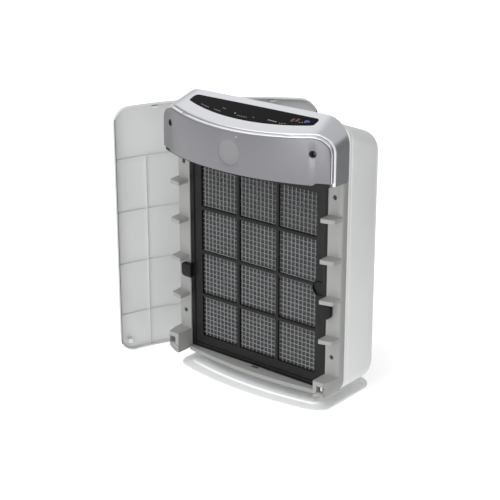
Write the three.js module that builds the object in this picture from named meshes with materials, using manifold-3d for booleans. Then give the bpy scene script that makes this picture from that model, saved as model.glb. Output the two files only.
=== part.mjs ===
// Room air purifier, opened for a filter change: the front cover is off and stands beside the body.
// Millimetres, +Z up, the front faces -Y. The origin is on the floor, in the middle of the width,
// in the plane just behind the pre-filter's front face.
import * as THREE from "three";
import { mergeVertices } from "three/addons/utils/BufferGeometryUtils.js";
import Module from "manifold-3d";

const wasm = await Module();
wasm.setup();

// ---- Driving dimensions -------------------------------------------------------------------------
const CLEARANCE = 0.3; // gap between pieces that touch
const CUT = 1; // how far a cutter runs past the wall that it opens

// Body
const BODY_WIDTH = 400;
const BODY_UNDERSIDE_Z = 30; // body's lowest point above the floor
const BODY_HEIGHT = 538; // underside to the ridge of the top cap
const PARTING_Y = 14; // plane where the white shell meets the front pieces
const BACK_Y = 130;
const SHELL_WALL = 2.6;
const SHELL_SIDE_RADIUS = 36; // upright corners at the back
const SHELL_UNDER_RADIUS = 40; // lower edge at the back
const BODY_BOTTOM_RADIUS = 32; // lower corners, seen from the front
const SHELL_TOP_RADIUS = 30; // upper corners of the shell, seen from the front
const SHELL_STEP_Z = 11; // shell's front edge below the ridge
const SHELL_SLOPE = 0.37; // fall of the shell's top per millimetre of depth
const SHELL_SLOPE_END_Y = 96; // where the slope turns down into the back
const SHELL_BACK_TOP_DROP = 83; // top of the flat back below the ridge

// Curved fascia, lip and top cap
const FASCIA_RADIUS = 441; // plan radius of the bowed front
const FASCIA_APEX_Y = -88;
const FASCIA_TOP_DROP = 33; // top edge at mid-width, below the ridge
const FASCIA_HEIGHT = 80;
const FASCIA_WALL = 3;
const FASCIA_INSET = 1.5; // how far it stays inside the cap's outline
const FASCIA_END_WIDTH = 28; // raised ends of the lower edge
const FASCIA_END_RISE = 5;
const EDGE_RISE = 0.24; // rise of the top edge as the bow falls back
const FRONT_CORNER_RADIUS = 36;
const RIDGE_CORNER_RADIUS = 50;
const CAP_WALL = 2.5;
const CAP_SKIRT = 2.5; // how far the cap's sides reach below the fascia
const LIP_DEPTH = 5.7;
const LIP_INSET = 1;
const LIP_WALL = 2.6;
const GROOVE_WIDTH = 2.5; // shadow groove behind the lip
const COVER_CLIP_X = 120; // clips of the cover and the notches that take them
const CLIP_NOTCH_WIDTH = 18;

// Control panel
const OVERLAY_SIDE_INSET = 53; // panel's end from the body's side
const OVERLAY_FRONT_SETBACK = 37; // front edge behind the fascia
const OVERLAY_BACK_Y = -3;
const OVERLAY_THICKNESS = 0.8;
const DISC_RADIUS = 23.5; // shallow round recess in the fascia
const DISC_X = 4;
const DISC_DROP = 41; // centre of the recess below the fascia's top edge
const DISC_DEPTH = 0.6;
const INDICATOR_X = 22;
const INDICATOR_DROP = 10;
const INDICATOR_RADIUS = 2;

// Rails, tabs and lugs
const RAIL_WIDTH = 32;
const RAIL_FRONT_Y = -3.4;
const RAIL_WALL = 8;
const TAB_COUNT = 4;
const TAB_FIRST_Z = 144; // underside of the lowest tab
const TAB_LAST_DROP = 71.5; // underside of the highest tab, below the cap's lower edge
const TAB_THICKNESS = 8;
const TAB_INSET = 3; // tab's inner end from the rail's inner edge
const TAB_INNER_Y = -33;
const TAB_OUTER_Y = -26;
const LUG_FRONT_Y = -43;
const LUG_TOP_Z = 72;
const SOCKET_INSET = 15; // socket's centre from the body's side
const SOCKET_Z = 56.5;
const SOCKET_WIDTH = 15;
const SOCKET_HEIGHT = 13;
const SOCKET_DEPTH = 14;
const LEDGE_APEX_Y = -27;
const LEDGE_RADIUS = 840;
const LEDGE_LIP_Z = 27.5; // lower edge of the ledge's front face

// Filters, front to back
const FILTER_Z0 = 36.5;
const PREFILTER_FRONT_Y = -2;
const PREFILTER_THICKNESS = 12;
const CARBON_THICKNESS = 15;
const HEPA_THICKNESS = 29;
const GASKET_THICKNESS = 1.5;
const FILTER_SIDE_GAP = 0.5;
const WINDOW_COLUMNS = 3;
const WINDOW_ROWS = 4;
const WINDOW_BAR = 7;
const WINDOW_BORDER = 26.7; // frame's edge to the outer windows
const MESH_THICKNESS = 2;
const MEDIA_BORDER = 12;
const PLEAT_COUNT = 34;
const PULL_REACH = 16; // how far each pull block reaches past the pre-filter's edge
const PULL_HEIGHT = 27;
const PULL_UNDER_TAB = 9; // its top below the second tab
const PULL_FRONT_Y = -14;
const GRIP_RADIUS = 16; // half-round finger grip beside the mesh
const GRIP_DROP = 5; // below the filter's middle

// Bay and fan
const BAY_WALL = 3;
const BAY_HEADROOM = 3; // from the top of the bay to the cap's lower edge
const INLET_RADIUS = 78;
const HOUSING_WALL = 2.4;
const WHEEL_RADIUS = 94;
const BLADE_COUNT = 24;
const BLADE_CHORD = 17;
const WHEEL_RING = 4;
const SHAFT_RADIUS = 4;
const MOTOR_RADIUS = 40;
const SCROLL_GROWTH = 38; // how much the scroll opens over its turn
const GRILLE_SIDE_INSET = 60; // grille's end from the body's side
const GRILLE_DEPTH = 50;
const GRILLE_THICKNESS = 2.4;
const GRILLE_SLOT_ROWS = 6;
const GRILLE_SLOT_COLUMNS = 4;
const GRILLE_BAR = 3.2;

// Base
const BASE_SIDE_INSET = 18; // inside the body's side
const BASE_FRONT_Y = -57;
const BASE_BACK_Y = 145;
const BASE_BOW_RADIUS = 700;
const BASE_CORNER_RADIUS = 36;
const BASE_CORNER_SETBACK = 14; // corner arcs start this far behind the bow
const BASE_RIM_HEIGHT = 7;
const BASE_RISE = 2.5; // raised middle above the rim
const BASE_RIM_WIDTH = 27;
const NECK_HALF_WIDTH = 105;
const NECK_HALF_DEPTH = 38;
const NECK_Y = 58;
const FOOT_RADIUS = 11;
const FOOT_THICKNESS = 3;

// Loose front cover
const COVER_OVERLAP = 6; // wider than the body at each side, along its chord
const COVER_TOP_DROP = 19; // shorter than the body
const COVER_SAGITTA = 48; // how far its middle bows out from the line between its ends
const COVER_WALL = 2.6;
const COVER_RIM_DEPTH = 9;
const COVER_CORNER_RADIUS = 33;
const COVER_RIB_HEIGHT = 3.5;
const COVER_RIB_WALL = 1.8;
const COVER_RIB_FIRST_Z = 79;
const COVER_RIB_TOP_DROP = 107; // highest rib below the cover's top
const COVER_RIB_ROWS = 4;
const COVER_UPRIGHT_INSET = 62; // outer uprights from the cover's side edges
const COVER_UPRIGHTS = 4;
const COVER_HOOK_Z = 24;
const COVER_TURN = 50.5; // degrees from the body's width to the cover's
const COVER_MIDDLE_INSET = 16.9; // middle of its chord, inside the body's left side
const COVER_MIDDLE_SETBACK = 34.6; // and in front of the body's back

// Fasteners and small parts
const SCREW_HEAD_RADIUS = 4.2;
const SCREW_SHANK_RADIUS = 2;
const SCREW_HEAD_HEIGHT = 2.2;
const FASCIA_SCREW_INSET = 31; // from the body's side
const FASCIA_SCREW_DROP = 22;
const FASCIA_WELL_RADIUS = 6.5; // opening in the fascia round each screw
const RAIL_SCREW_INSET = 17.5; // from the body's side
const RAIL_SCREW_LOW_Z = 109;
const RAIL_SCREW_HIGH_DROP = 29; // below the cap's lower edge
const PLUNGER_TRAVEL = 3;

// ---- Worked-out places --------------------------------------------------------------------------
const HALF_WIDTH = BODY_WIDTH / 2;
const RIDGE_Z = BODY_UNDERSIDE_Z + BODY_HEIGHT;
const SOCKET_X = HALF_WIDTH - SOCKET_INSET;
const FASCIA_SCREW_X = HALF_WIDTH - FASCIA_SCREW_INSET;
const OVERLAY_HALF_WIDTH = HALF_WIDTH - OVERLAY_SIDE_INSET;
const GRILLE_HALF_WIDTH = HALF_WIDTH - GRILLE_SIDE_INSET;
const BASE_HALF_WIDTH = HALF_WIDTH - BASE_SIDE_INSET;
const COVER_WIDTH = BODY_WIDTH + 2 * COVER_OVERLAP;
const COVER_HEIGHT = BODY_HEIGHT - COVER_TOP_DROP;
const COVER_RIB_PITCH = (COVER_HEIGHT - COVER_RIB_TOP_DROP - COVER_RIB_FIRST_Z) / (COVER_RIB_ROWS - 1);
const COVER_UPRIGHT_PITCH = (COVER_WIDTH - 2 * COVER_UPRIGHT_INSET) / (COVER_UPRIGHTS - 1);
const COVER_MIDDLE = [COVER_MIDDLE_INSET - HALF_WIDTH, BACK_Y - COVER_MIDDLE_SETBACK];
const FASCIA_TOP_Z = RIDGE_Z - FASCIA_TOP_DROP;
const FASCIA_BOTTOM_Z = FASCIA_TOP_Z - FASCIA_HEIGHT;
const CAP_BOTTOM_Z = FASCIA_BOTTOM_Z - CAP_SKIRT;
const ARC_CENTRE_Y = FASCIA_APEX_Y + FASCIA_RADIUS;
const RIDGE_Y = PARTING_Y - CLEARANCE;
const LIP_FRONT = FASCIA_WALL + CLEARANCE;
const LIP_BACK = LIP_FRONT + LIP_DEPTH;
const CAP_FRONT = LIP_BACK + GROOVE_WIDTH;
const RAIL_INNER_X = HALF_WIDTH - RAIL_WIDTH;
const FILTER_HALF_WIDTH = RAIL_INNER_X - FILTER_SIDE_GAP;
const BAY_TOP_Z = CAP_BOTTOM_Z - BAY_HEADROOM;
const FILTER_Z1 = BAY_TOP_Z - FILTER_SIDE_GAP;
const FILTER_MIDDLE_Z = (FILTER_Z0 + FILTER_Z1) / 2;
const TAB_PITCH = (CAP_BOTTOM_Z - TAB_LAST_DROP - TAB_FIRST_Z) / (TAB_COUNT - 1);
const CARBON_Y = PREFILTER_FRONT_Y + PREFILTER_THICKNESS + CLEARANCE;
const HEPA_Y = CARBON_Y + CARBON_THICKNESS + CLEARANCE;
const GASKET_Y = HEPA_Y + HEPA_THICKNESS + CLEARANCE;
const BAY_BACK_Y = GASKET_Y + GASKET_THICKNESS + CLEARANCE;
const HOUSING_Y0 = BAY_BACK_Y + BAY_WALL + CLEARANCE;
const HOUSING_Y1 = BACK_Y - SHELL_WALL - 4;
const FAN_Z = (FILTER_Z0 + BAY_TOP_Z) / 2;
const SLOPE_ANGLE = Math.atan(SHELL_SLOPE);

// ---- Shape helpers ------------------------------------------------------------------------------

/** A closed geometry as a manifold-3d solid, turned round if its faces point inwards. */
function solid(geometry) {
  const loose = geometry.index ? geometry.toNonIndexed() : geometry;
  const bare = new THREE.BufferGeometry();
  bare.setAttribute("position", loose.getAttribute("position"));
  const merged = mergeVertices(bare, 1e-4);
  const vertProperties = new Float32Array(merged.attributes.position.array);
  const triVerts = new Uint32Array(merged.index.array);
  const made = new wasm.Manifold(new wasm.Mesh({ numProp: 3, vertProperties, triVerts }));
  if (made.volume() > 0) return made;
  for (let i = 0; i < triVerts.length; i += 3) {
    [triVerts[i], triVerts[i + 1]] = [triVerts[i + 1], triVerts[i]];
  }
  return new wasm.Manifold(new wasm.Mesh({ numProp: 3, vertProperties, triVerts }));
}

const joined = (parts) => parts.reduce((whole, part) => whole.add(part));
const cutBy = (body, cutters) => cutters.reduce((whole, cutter) => whole.subtract(cutter), body);

function extruded(shape, depth, segments) {
  return new THREE.ExtrudeGeometry(shape, { depth, bevelEnabled: false, curveSegments: segments });
}

/** An outline in X and Y, raised from z0 to z1. */
function planPrism(shape, z0, z1, segments = 8) {
  return solid(extruded(shape, z1 - z0, segments).translate(0, 0, z0));
}

/** An outline in X and Z, carried from y0 back to y1. */
function frontPrism(shape, y0, y1, segments = 8) {
  return solid(extruded(shape, y1 - y0, segments).rotateX(Math.PI / 2).translate(0, y1, 0));
}

function box(x0, x1, y0, y1, z0, z1) {
  const block = new THREE.BoxGeometry(x1 - x0, y1 - y0, z1 - z0);
  return solid(block.translate((x0 + x1) / 2, (y0 + y1) / 2, (z0 + z1) / 2));
}

/** A round bar along Y. */
function barY(radius, y0, y1, x, z, segments = 24) {
  const bar = new THREE.CylinderGeometry(radius, radius, y1 - y0, segments);
  return solid(bar.translate(x, (y0 + y1) / 2, z));
}

/** A round bar along Z. */
function barZ(radius, z0, z1, x, y, segments = 24) {
  const bar = new THREE.CylinderGeometry(radius, radius, z1 - z0, segments);
  return solid(bar.rotateX(Math.PI / 2).translate(x, y, (z0 + z1) / 2));
}

/** A body turned about the Y axis through x, z; the profile's points are [radius, y]. */
function turnedY(profile, x, z, segments = 48) {
  const points = profile.map(([radius, y]) => new THREE.Vector2(radius, y));
  const closed = [...points, points[0].clone()];
  return solid(new THREE.LatheGeometry(closed, segments).translate(x, 0, z));
}

/** A closed body through rings that all have the same number of points. */
function loft(rings) {
  const points = [];
  const add = (...corners) => corners.forEach((corner) => points.push(...corner));
  const count = rings[0].length;
  for (let i = 0; i + 1 < rings.length; i += 1) {
    for (let j = 0; j < count; j += 1) {
      const next = (j + 1) % count;
      add(rings[i][j], rings[i][next], rings[i + 1][j]);
      add(rings[i][next], rings[i + 1][next], rings[i + 1][j]);
    }
  }
  const last = rings[rings.length - 1];
  for (let j = 1; j + 1 < count; j += 1) {
    add(rings[0][0], rings[0][j + 1], rings[0][j]);
    add(last[0], last[j], last[j + 1]);
  }
  const geometry = new THREE.BufferGeometry();
  geometry.setAttribute("position", new THREE.Float32BufferAttribute(points, 3));
  return solid(geometry);
}

/** A rectangle in the shape's own plane, with one radius for its lower and one for its upper corners. */
function roundedRect(u0, u1, v0, v1, lower, upper) {
  const shape = new THREE.Shape();
  const corner = (u, v, radius, start) => {
    if (radius > 0) shape.absarc(u, v, radius, start, start + Math.PI / 2, false);
    else shape.lineTo(u, v);
  };
  shape.moveTo(u0 + lower, v0);
  shape.lineTo(u1 - lower, v0);
  corner(u1 - lower, v0 + lower, lower, -Math.PI / 2);
  shape.lineTo(u1, v1 - upper);
  corner(u1 - upper, v1 - upper, upper, 0);
  shape.lineTo(u0 + upper, v1);
  corner(u0 + upper, v1 - upper, upper, Math.PI / 2);
  shape.lineTo(u0, v0 + lower);
  corner(u0 + lower, v0 + lower, lower, Math.PI);
  return shape;
}

function polygon(points) {
  return new THREE.Shape(points.map(([u, v]) => new THREE.Vector2(u, v)));
}

const mirrored = (body) => body.mirror([1, 0, 0]);

// ---- The group and its finishes -----------------------------------------------------------------
const FINISHES = {
  white_shell: { color: 0xc9cbca, roughness: 0.45, metalness: 0 },
  white_cover: { color: 0xbfc1c2, roughness: 0.5, metalness: 0 },
  white_base: { color: 0xd2d4d5, roughness: 0.4, metalness: 0 },
  silver_fascia: { color: 0x88878c, roughness: 0.4, metalness: 0.3 },
  silver_cap: { color: 0xc4c5c9, roughness: 0.35, metalness: 0.4 },
  bright_lip: { color: 0xd8dadd, roughness: 0.2, metalness: 0.8 },
  grey_plastic: { color: 0x9b9c9a, roughness: 0.55, metalness: 0 },
  black_plastic: { color: 0x1d1d1e, roughness: 0.5, metalness: 0 },
  black_gloss: { color: 0x050505, roughness: 0.08, metalness: 0 },
  nylon_mesh: { color: 0x737373, roughness: 0.8, metalness: 0 },
  carbon: { color: 0x26272a, roughness: 0.9, metalness: 0 },
  filter_paper: { color: 0xeeeee8, roughness: 0.9, metalness: 0 },
  foam: { color: 0x2b2b2d, roughness: 0.95, metalness: 0 },
  fan_plastic: { color: 0x3a3c40, roughness: 0.5, metalness: 0 },
  steel: { color: 0x6f7174, roughness: 0.35, metalness: 0.9 },
  board: { color: 0x1f5a37, roughness: 0.5, metalness: 0 },
  clear_lens: { color: 0xb8c4cf, roughness: 0.1, metalness: 0 },
  rubber: { color: 0x2a2a2a, roughness: 0.9, metalness: 0 },
};

const purifier = new THREE.Group();

/** Adds one named piece, in its own copy of a finish, to the purifier or to a group in it. */
function addPiece(name, body, finish, group = purifier) {
  const { vertProperties, triVerts, numProp } = body.getMesh();
  const geometry = new THREE.BufferGeometry();
  const positions = new THREE.Float32BufferAttribute(vertProperties, numProp);
  geometry.setAttribute("position", positions);
  geometry.setIndex([...triVerts]);
  geometry.computeVertexNormals();
  const mesh = new THREE.Mesh(geometry, new THREE.MeshStandardMaterial(FINISHES[finish]));
  mesh.name = name;
  group.add(mesh);
}

// ---- Shapes that several pieces share -----------------------------------------------------------

/** Depth of the bowed front at x, moved back by an offset. */
const bowY = (x, offset) => ARC_CENTRE_Y - Math.sqrt((FASCIA_RADIUS - offset) ** 2 - x * x);

/** How far a rounded upper corner has fallen at x. */
function cornerDrop(x, radius, inset) {
  const past = Math.abs(x) - (HALF_WIDTH - radius);
  if (past <= 0) return 0;
  const r = radius - inset;
  return r - Math.sqrt(Math.max(r * r - past * past, 0));
}

/** Height of the top, from the fascia's edge up to the ridge. */
function topZ(x, y, inset = 0) {
  const frontY = bowY(x, 0);
  const frontZ = FASCIA_TOP_Z + EDGE_RISE * (frontY - FASCIA_APEX_Y)
    - cornerDrop(x, FRONT_CORNER_RADIUS, inset);
  const ridgeZ = RIDGE_Z - cornerDrop(x, RIDGE_CORNER_RADIUS, inset);
  const share = (y - frontY) / (RIDGE_Y - frontY);
  return frontZ + share * (ridgeZ - frontZ) - inset;
}

/** Stations across the width, close together round the upper corners. */
function stations(half, radius, middleSteps, cornerSteps) {
  const flat = half - radius;
  const right = [];
  for (let i = 1; i <= cornerSteps; i += 1) {
    right.push(flat + radius * Math.sin((i / cornerSteps) * (Math.PI / 2)));
  }
  const middle = [];
  for (let i = 0; i <= middleSteps; i += 1) {
    middle.push(-flat + (2 * flat * i) / middleSteps);
  }
  return [...right.map((x) => -x).reverse(), ...middle, ...right];
}

/** A body under the top's surface, between two depths given as functions of x. */
function bowedBlock({ inset, front, back, bottom }) {
  const across = stations(HALF_WIDTH - inset, RIDGE_CORNER_RADIUS - inset, 10, 5);
  return loft(across.map((x) => {
    const y0 = front(x);
    const y1 = back(x);
    return [[x, y0, bottom], [x, y0, topZ(x, y0, inset)], [x, y1, topZ(x, y1, inset)], [x, y1, bottom]];
  }));
}

const behindBow = (offset) => (x) => bowY(x, offset);
const atPlane = (y) => () => y;

/** Height of the shell's top at a depth. */
function shellTopZ(y) {
  const frontZ = RIDGE_Z - SHELL_STEP_Z;
  const slopeZ = (depth) => frontZ - SHELL_SLOPE * (depth - PARTING_Y);
  if (y <= SHELL_SLOPE_END_Y) return slopeZ(y);
  const run = BACK_Y - SHELL_SLOPE_END_Y;
  const turn = (y - SHELL_SLOPE_END_Y) / run;
  const drop = slopeZ(SHELL_SLOPE_END_Y) - (RIDGE_Z - SHELL_BACK_TOP_DROP);
  const straight = SHELL_SLOPE * run * turn;
  const rest = drop - SHELL_SLOPE * run;
  return slopeZ(SHELL_SLOPE_END_Y) - straight - rest * (1 - Math.sqrt(Math.max(1 - turn * turn, 0)));
}

/** One upright section of the shell, seen from the front, at a depth. */
function shellRing(y, depth, inset) {
  const sideTurn = Math.max(y - (BACK_Y - SHELL_SIDE_RADIUS), 0);
  const underTurn = Math.max(y - (BACK_Y - SHELL_UNDER_RADIUS), 0);
  const half = HALF_WIDTH - inset
    - (SHELL_SIDE_RADIUS - Math.sqrt(Math.max(SHELL_SIDE_RADIUS ** 2 - sideTurn ** 2, 0)));
  const z0 = BODY_UNDERSIDE_Z + inset
    + (SHELL_UNDER_RADIUS - Math.sqrt(Math.max(SHELL_UNDER_RADIUS ** 2 - underTurn ** 2, 0)));
  const z1 = shellTopZ(y) - inset;
  const lower = BODY_BOTTOM_RADIUS - inset;
  const upper = SHELL_TOP_RADIUS - inset;
  const corners = [[half - lower, z0 + lower, lower], [half - upper, z1 - upper, upper],
    [upper - half, z1 - upper, upper], [lower - half, z0 + lower, lower]];
  const steps = 4;
  return corners.flatMap(([x, z, radius], quarter) => {
    const arc = [];
    for (let i = 0; i <= steps; i += 1) {
      const angle = (quarter - 1 + i / steps) * (Math.PI / 2);
      arc.push([x + radius * Math.cos(angle), depth, z + radius * Math.sin(angle)]);
    }
    return arc;
  });
}

/** The shell's outer form, or its inner form when inset by the wall. */
function shellForm(inset, frontY) {
  const rings = [shellRing(PARTING_Y, frontY, inset)];
  const turnStart = BACK_Y - SHELL_UNDER_RADIUS;
  const steps = 6;
  for (let i = 0; i <= steps; i += 1) {
    const y = turnStart + (BACK_Y - turnStart) * Math.sin((i / steps) * (Math.PI / 2));
    const depth = turnStart + ((y - turnStart) / (BACK_Y - turnStart)) * (BACK_Y - inset - turnStart);
    rings.push(shellRing(y, depth, inset));
  }
  return loft(rings);
}

/** Space inside the shell that the inner pieces must stay in, open at the front. */
const shellInside = (gap) => shellForm(SHELL_WALL + gap, FASCIA_APEX_Y);

/** The body's outline from the front, carried between two depths. */
function frontOutline(y0, y1, inset) {
  const half = HALF_WIDTH - inset;
  const z0 = BODY_UNDERSIDE_Z + inset;
  const z1 = CAP_BOTTOM_Z - CLEARANCE;
  const radius = Math.max(BODY_BOTTOM_RADIUS - inset, 1);
  return frontPrism(roundedRect(-half, half, z0, z1, radius, 0), y0, y1, 4);
}

/** A screw along Y, its head towards the front. */
function screw(x, z, headBackY, length) {
  const headY = headBackY - SCREW_HEAD_HEIGHT;
  return turnedY([[0, headY], [SCREW_HEAD_RADIUS - 1, headY], [SCREW_HEAD_RADIUS, headY + 0.8],
    [SCREW_HEAD_RADIUS, headBackY], [SCREW_SHANK_RADIUS, headBackY],
    [SCREW_SHANK_RADIUS, headBackY + length], [0, headBackY + length]], x, z, 12);
}

const hole = (x, z, y0, y1) => barY(SCREW_SHANK_RADIUS + CLEARANCE, y0, y1, x, z, 12);
const headPocket = (x, z, y0, y1) => barY(SCREW_HEAD_RADIUS + CLEARANCE, y0, y1, x, z, 16);

// ---- Base ---------------------------------------------------------------------------------------
/** The base's plan: a rectangle with round corners whose front bows out between them. */
function baseOutline(inset, z0, z1) {
  const half = BASE_HALF_WIDTH - inset;
  const radius = BASE_CORNER_RADIUS - inset * 0.6;
  const frontY = BASE_FRONT_Y + inset;
  const backY = BASE_BACK_Y - inset;
  const cornersY = frontY + BASE_CORNER_SETBACK;
  const corners = planPrism(roundedRect(-half, half, cornersY, backY, radius, radius), z0, z1, 6);
  const middle = box(radius - half, half - radius, frontY - CUT, cornersY + CUT, z0, z1);
  const bow = barZ(BASE_BOW_RADIUS - inset, z0 - CUT, z1 + CUT, 0, BASE_FRONT_Y + BASE_BOW_RADIUS, 160);
  return corners.add(middle).intersect(bow);
}

function addBase() {
  const plate = baseOutline(0, 0, BASE_RIM_HEIGHT)
    .add(baseOutline(BASE_RIM_WIDTH, BASE_RIM_HEIGHT - CUT, BASE_RIM_HEIGHT + BASE_RISE));
  const footX = BASE_HALF_WIDTH - BASE_CORNER_RADIUS;
  const footFrontY = BASE_FRONT_Y + BASE_CORNER_SETBACK + BASE_CORNER_RADIUS;
  const footBackY = BASE_BACK_Y - BASE_CORNER_RADIUS;
  const feet = [[-footX, footFrontY], [footX, footFrontY], [-footX, footBackY], [footX, footBackY]];
  const pockets = feet.map(([x, y]) =>
    barZ(FOOT_RADIUS + CLEARANCE, -CUT, FOOT_THICKNESS + CLEARANCE, x, y));
  addPiece("base_plate", cutBy(plate, pockets), "white_base");
  feet.forEach(([x, y], i) =>
    addPiece(`foot_pad_${i + 1}`, barZ(FOOT_RADIUS, 0, FOOT_THICKNESS, x, y), "rubber"));
  const neck = new THREE.Shape();
  neck.absellipse(0, NECK_Y, NECK_HALF_WIDTH, NECK_HALF_DEPTH, 0, Math.PI * 2, false);
  const neckBottomZ = BASE_RIM_HEIGHT + BASE_RISE + CLEARANCE;
  addPiece("base_neck", planPrism(neck, neckBottomZ, BODY_UNDERSIDE_Z - CLEARANCE, 16), "white_base");
}

// ---- White shell and outlet grille --------------------------------------------------------------
const GRILLE_Y = (PARTING_Y + SHELL_SLOPE_END_Y) / 2 + 10;

/** Puts a body made flat round the origin onto the shell's slope. */
function onSlope(body) {
  return body.rotate([-(SLOPE_ANGLE * 180) / Math.PI, 0, 0])
    .translate([0, GRILLE_Y, shellTopZ(GRILLE_Y)]);
}

function addShell() {
  const inner = shellForm(SHELL_WALL, PARTING_Y - CUT);
  const halfWidth = GRILLE_HALF_WIDTH + CLEARANCE;
  const halfDepth = GRILLE_DEPTH / 2 + CLEARANCE;
  const opening = onSlope(box(-halfWidth, halfWidth, -halfDepth, halfDepth, -SHELL_WALL * 3, SHELL_WALL * 3));
  const gland = barY(GLAND_NECK_RADIUS + CLEARANCE, BACK_Y - SHELL_WALL - CUT, BACK_Y + CUT,
    GLAND_X, GLAND_Z);
  const wells = SHELL_SCREWS.map(([x, z]) =>
    barY(WELL_RADIUS, BACK_Y - WELL_DEPTH, BACK_Y - SHELL_WALL + CUT, x, z));
  const pockets = SHELL_SCREWS.flatMap(([x, z]) => [
    headPocket(x, z, BACK_Y - WELL_DEPTH + SHELL_WALL, BACK_Y + CUT),
    hole(x, z, BACK_Y - WELL_DEPTH - CUT, BACK_Y),
  ]);
  const hollow = shellForm(0, PARTING_Y).subtract(inner);
  addPiece("rear_shell", cutBy(joined([hollow, ...wells]), [opening, gland, ...pockets]), "white_shell");
}

function addGrille() {
  const halfDepth = GRILLE_DEPTH / 2;
  const slotPitchX = (2 * GRILLE_HALF_WIDTH - GRILLE_BAR) / GRILLE_SLOT_COLUMNS;
  const slotPitchY = (GRILLE_DEPTH - GRILLE_BAR) / GRILLE_SLOT_ROWS;
  const slots = [];
  for (let i = 0; i < GRILLE_SLOT_COLUMNS; i += 1) {
    for (let j = 0; j < GRILLE_SLOT_ROWS; j += 1) {
      const x = -GRILLE_HALF_WIDTH + GRILLE_BAR + i * slotPitchX;
      const y = -halfDepth + GRILLE_BAR + j * slotPitchY;
      slots.push(box(x, x + slotPitchX - GRILLE_BAR, y, y + slotPitchY - GRILLE_BAR,
        -GRILLE_THICKNESS - CUT, CUT));
    }
  }
  const plate = box(-GRILLE_HALF_WIDTH, GRILLE_HALF_WIDTH, -halfDepth, halfDepth, -GRILLE_THICKNESS, 0);
  addPiece("outlet_grille", onSlope(cutBy(plate, slots)), "grey_plastic");
}

// ---- Cord gland and shell screws ----------------------------------------------------------------
const GLAND_X = -128;
const GLAND_Z = 105;
const GLAND_NECK_RADIUS = 8;
const GLAND_HEAD_RADIUS = 11;
const GLAND_BORE_RADIUS = 3.6;
const WELL_RADIUS = 7.5;
const WELL_DEPTH = 9;
const SHELL_SCREW_X = WHEEL_RADIUS + 12 + SCROLL_GROWTH + WELL_RADIUS + 4; // clear of the fan's duct
const SHELL_SCREW_INSET = 32; // above the bay's floor and below its top
const SHELL_SCREW_LOW_Z = BODY_UNDERSIDE_Z + SHELL_UNDER_RADIUS + SHELL_SCREW_INSET;
const SHELL_SCREW_ZS = [SHELL_SCREW_LOW_Z, BAY_TOP_Z - SHELL_SCREW_INSET];
const SHELL_SCREWS = SHELL_SCREW_ZS.flatMap((z) => [[-SHELL_SCREW_X, z], [SHELL_SCREW_X, z]]);

function addShellFixings() {
  const gland = turnedY([[GLAND_BORE_RADIUS, BACK_Y - 8], [GLAND_NECK_RADIUS, BACK_Y - 8],
    [GLAND_NECK_RADIUS, BACK_Y + CLEARANCE], [GLAND_HEAD_RADIUS, BACK_Y + CLEARANCE],
    [GLAND_HEAD_RADIUS - 1, BACK_Y + 3], [GLAND_BORE_RADIUS, BACK_Y + 3]], GLAND_X, GLAND_Z, 24);
  addPiece("cord_gland", gland, "rubber");
  SHELL_SCREWS.forEach(([x, z], i) => {
    const floorY = BACK_Y - WELL_DEPTH + SHELL_WALL;
    const fromFront = screw(0, 0, 0, 7).rotate([0, 0, 180]);
    addPiece(`shell_screw_${i + 1}`, fromFront.translate([x, floorY + CLEARANCE, z]), "steel");
  });
}

// ---- Fascia, lip, top cap and control panel -----------------------------------------------------
const FASCIA_SCREW_Z = FASCIA_TOP_Z - FASCIA_SCREW_DROP;
const SCREW_BOSS_RADIUS = SCREW_HEAD_RADIUS + 3;
const FASCIA_SCREW_SEAT_Y = bowY(FASCIA_SCREW_X + SCREW_BOSS_RADIUS, LIP_FRONT);

function addFascia() {
  const plate = bowedBlock({ inset: FASCIA_INSET, front: behindBow(0), back: behindBow(FASCIA_WALL),
    bottom: FASCIA_BOTTOM_Z });
  const discZ = FASCIA_TOP_Z - DISC_DROP;
  const indicatorZ = FASCIA_TOP_Z - INDICATOR_DROP;
  const discFloorY = bowY(DISC_X, 0) + DISC_DEPTH;
  const cutters = [
    barY(DISC_RADIUS, FASCIA_APEX_Y - CUT, discFloorY, DISC_X, discZ, 32),
    barY(INDICATOR_RADIUS + CLEARANCE, FASCIA_APEX_Y - CUT, FASCIA_APEX_Y + 6, INDICATOR_X, indicatorZ, 12),
  ];
  [-1, 1].forEach((side) => {
    const inner = side * (HALF_WIDTH - FASCIA_END_WIDTH);
    const outer = side * (HALF_WIDTH + CUT);
    cutters.push(box(Math.min(inner, outer), Math.max(inner, outer), FASCIA_APEX_Y, PARTING_Y,
      FASCIA_BOTTOM_Z - CUT, FASCIA_BOTTOM_Z + FASCIA_END_RISE));
    cutters.push(barY(FASCIA_WELL_RADIUS, FASCIA_APEX_Y, FASCIA_SCREW_SEAT_Y,
      side * FASCIA_SCREW_X, FASCIA_SCREW_Z));
  });
  addPiece("fascia_plate", cutBy(plate, cutters), "silver_fascia");
  const lens = barY(INDICATOR_RADIUS, bowY(INDICATOR_X, 0) + 0.2, FASCIA_APEX_Y + FASCIA_WALL,
    INDICATOR_X, indicatorZ, 12);
  addPiece("indicator_lens", lens, "clear_lens");
}

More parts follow.
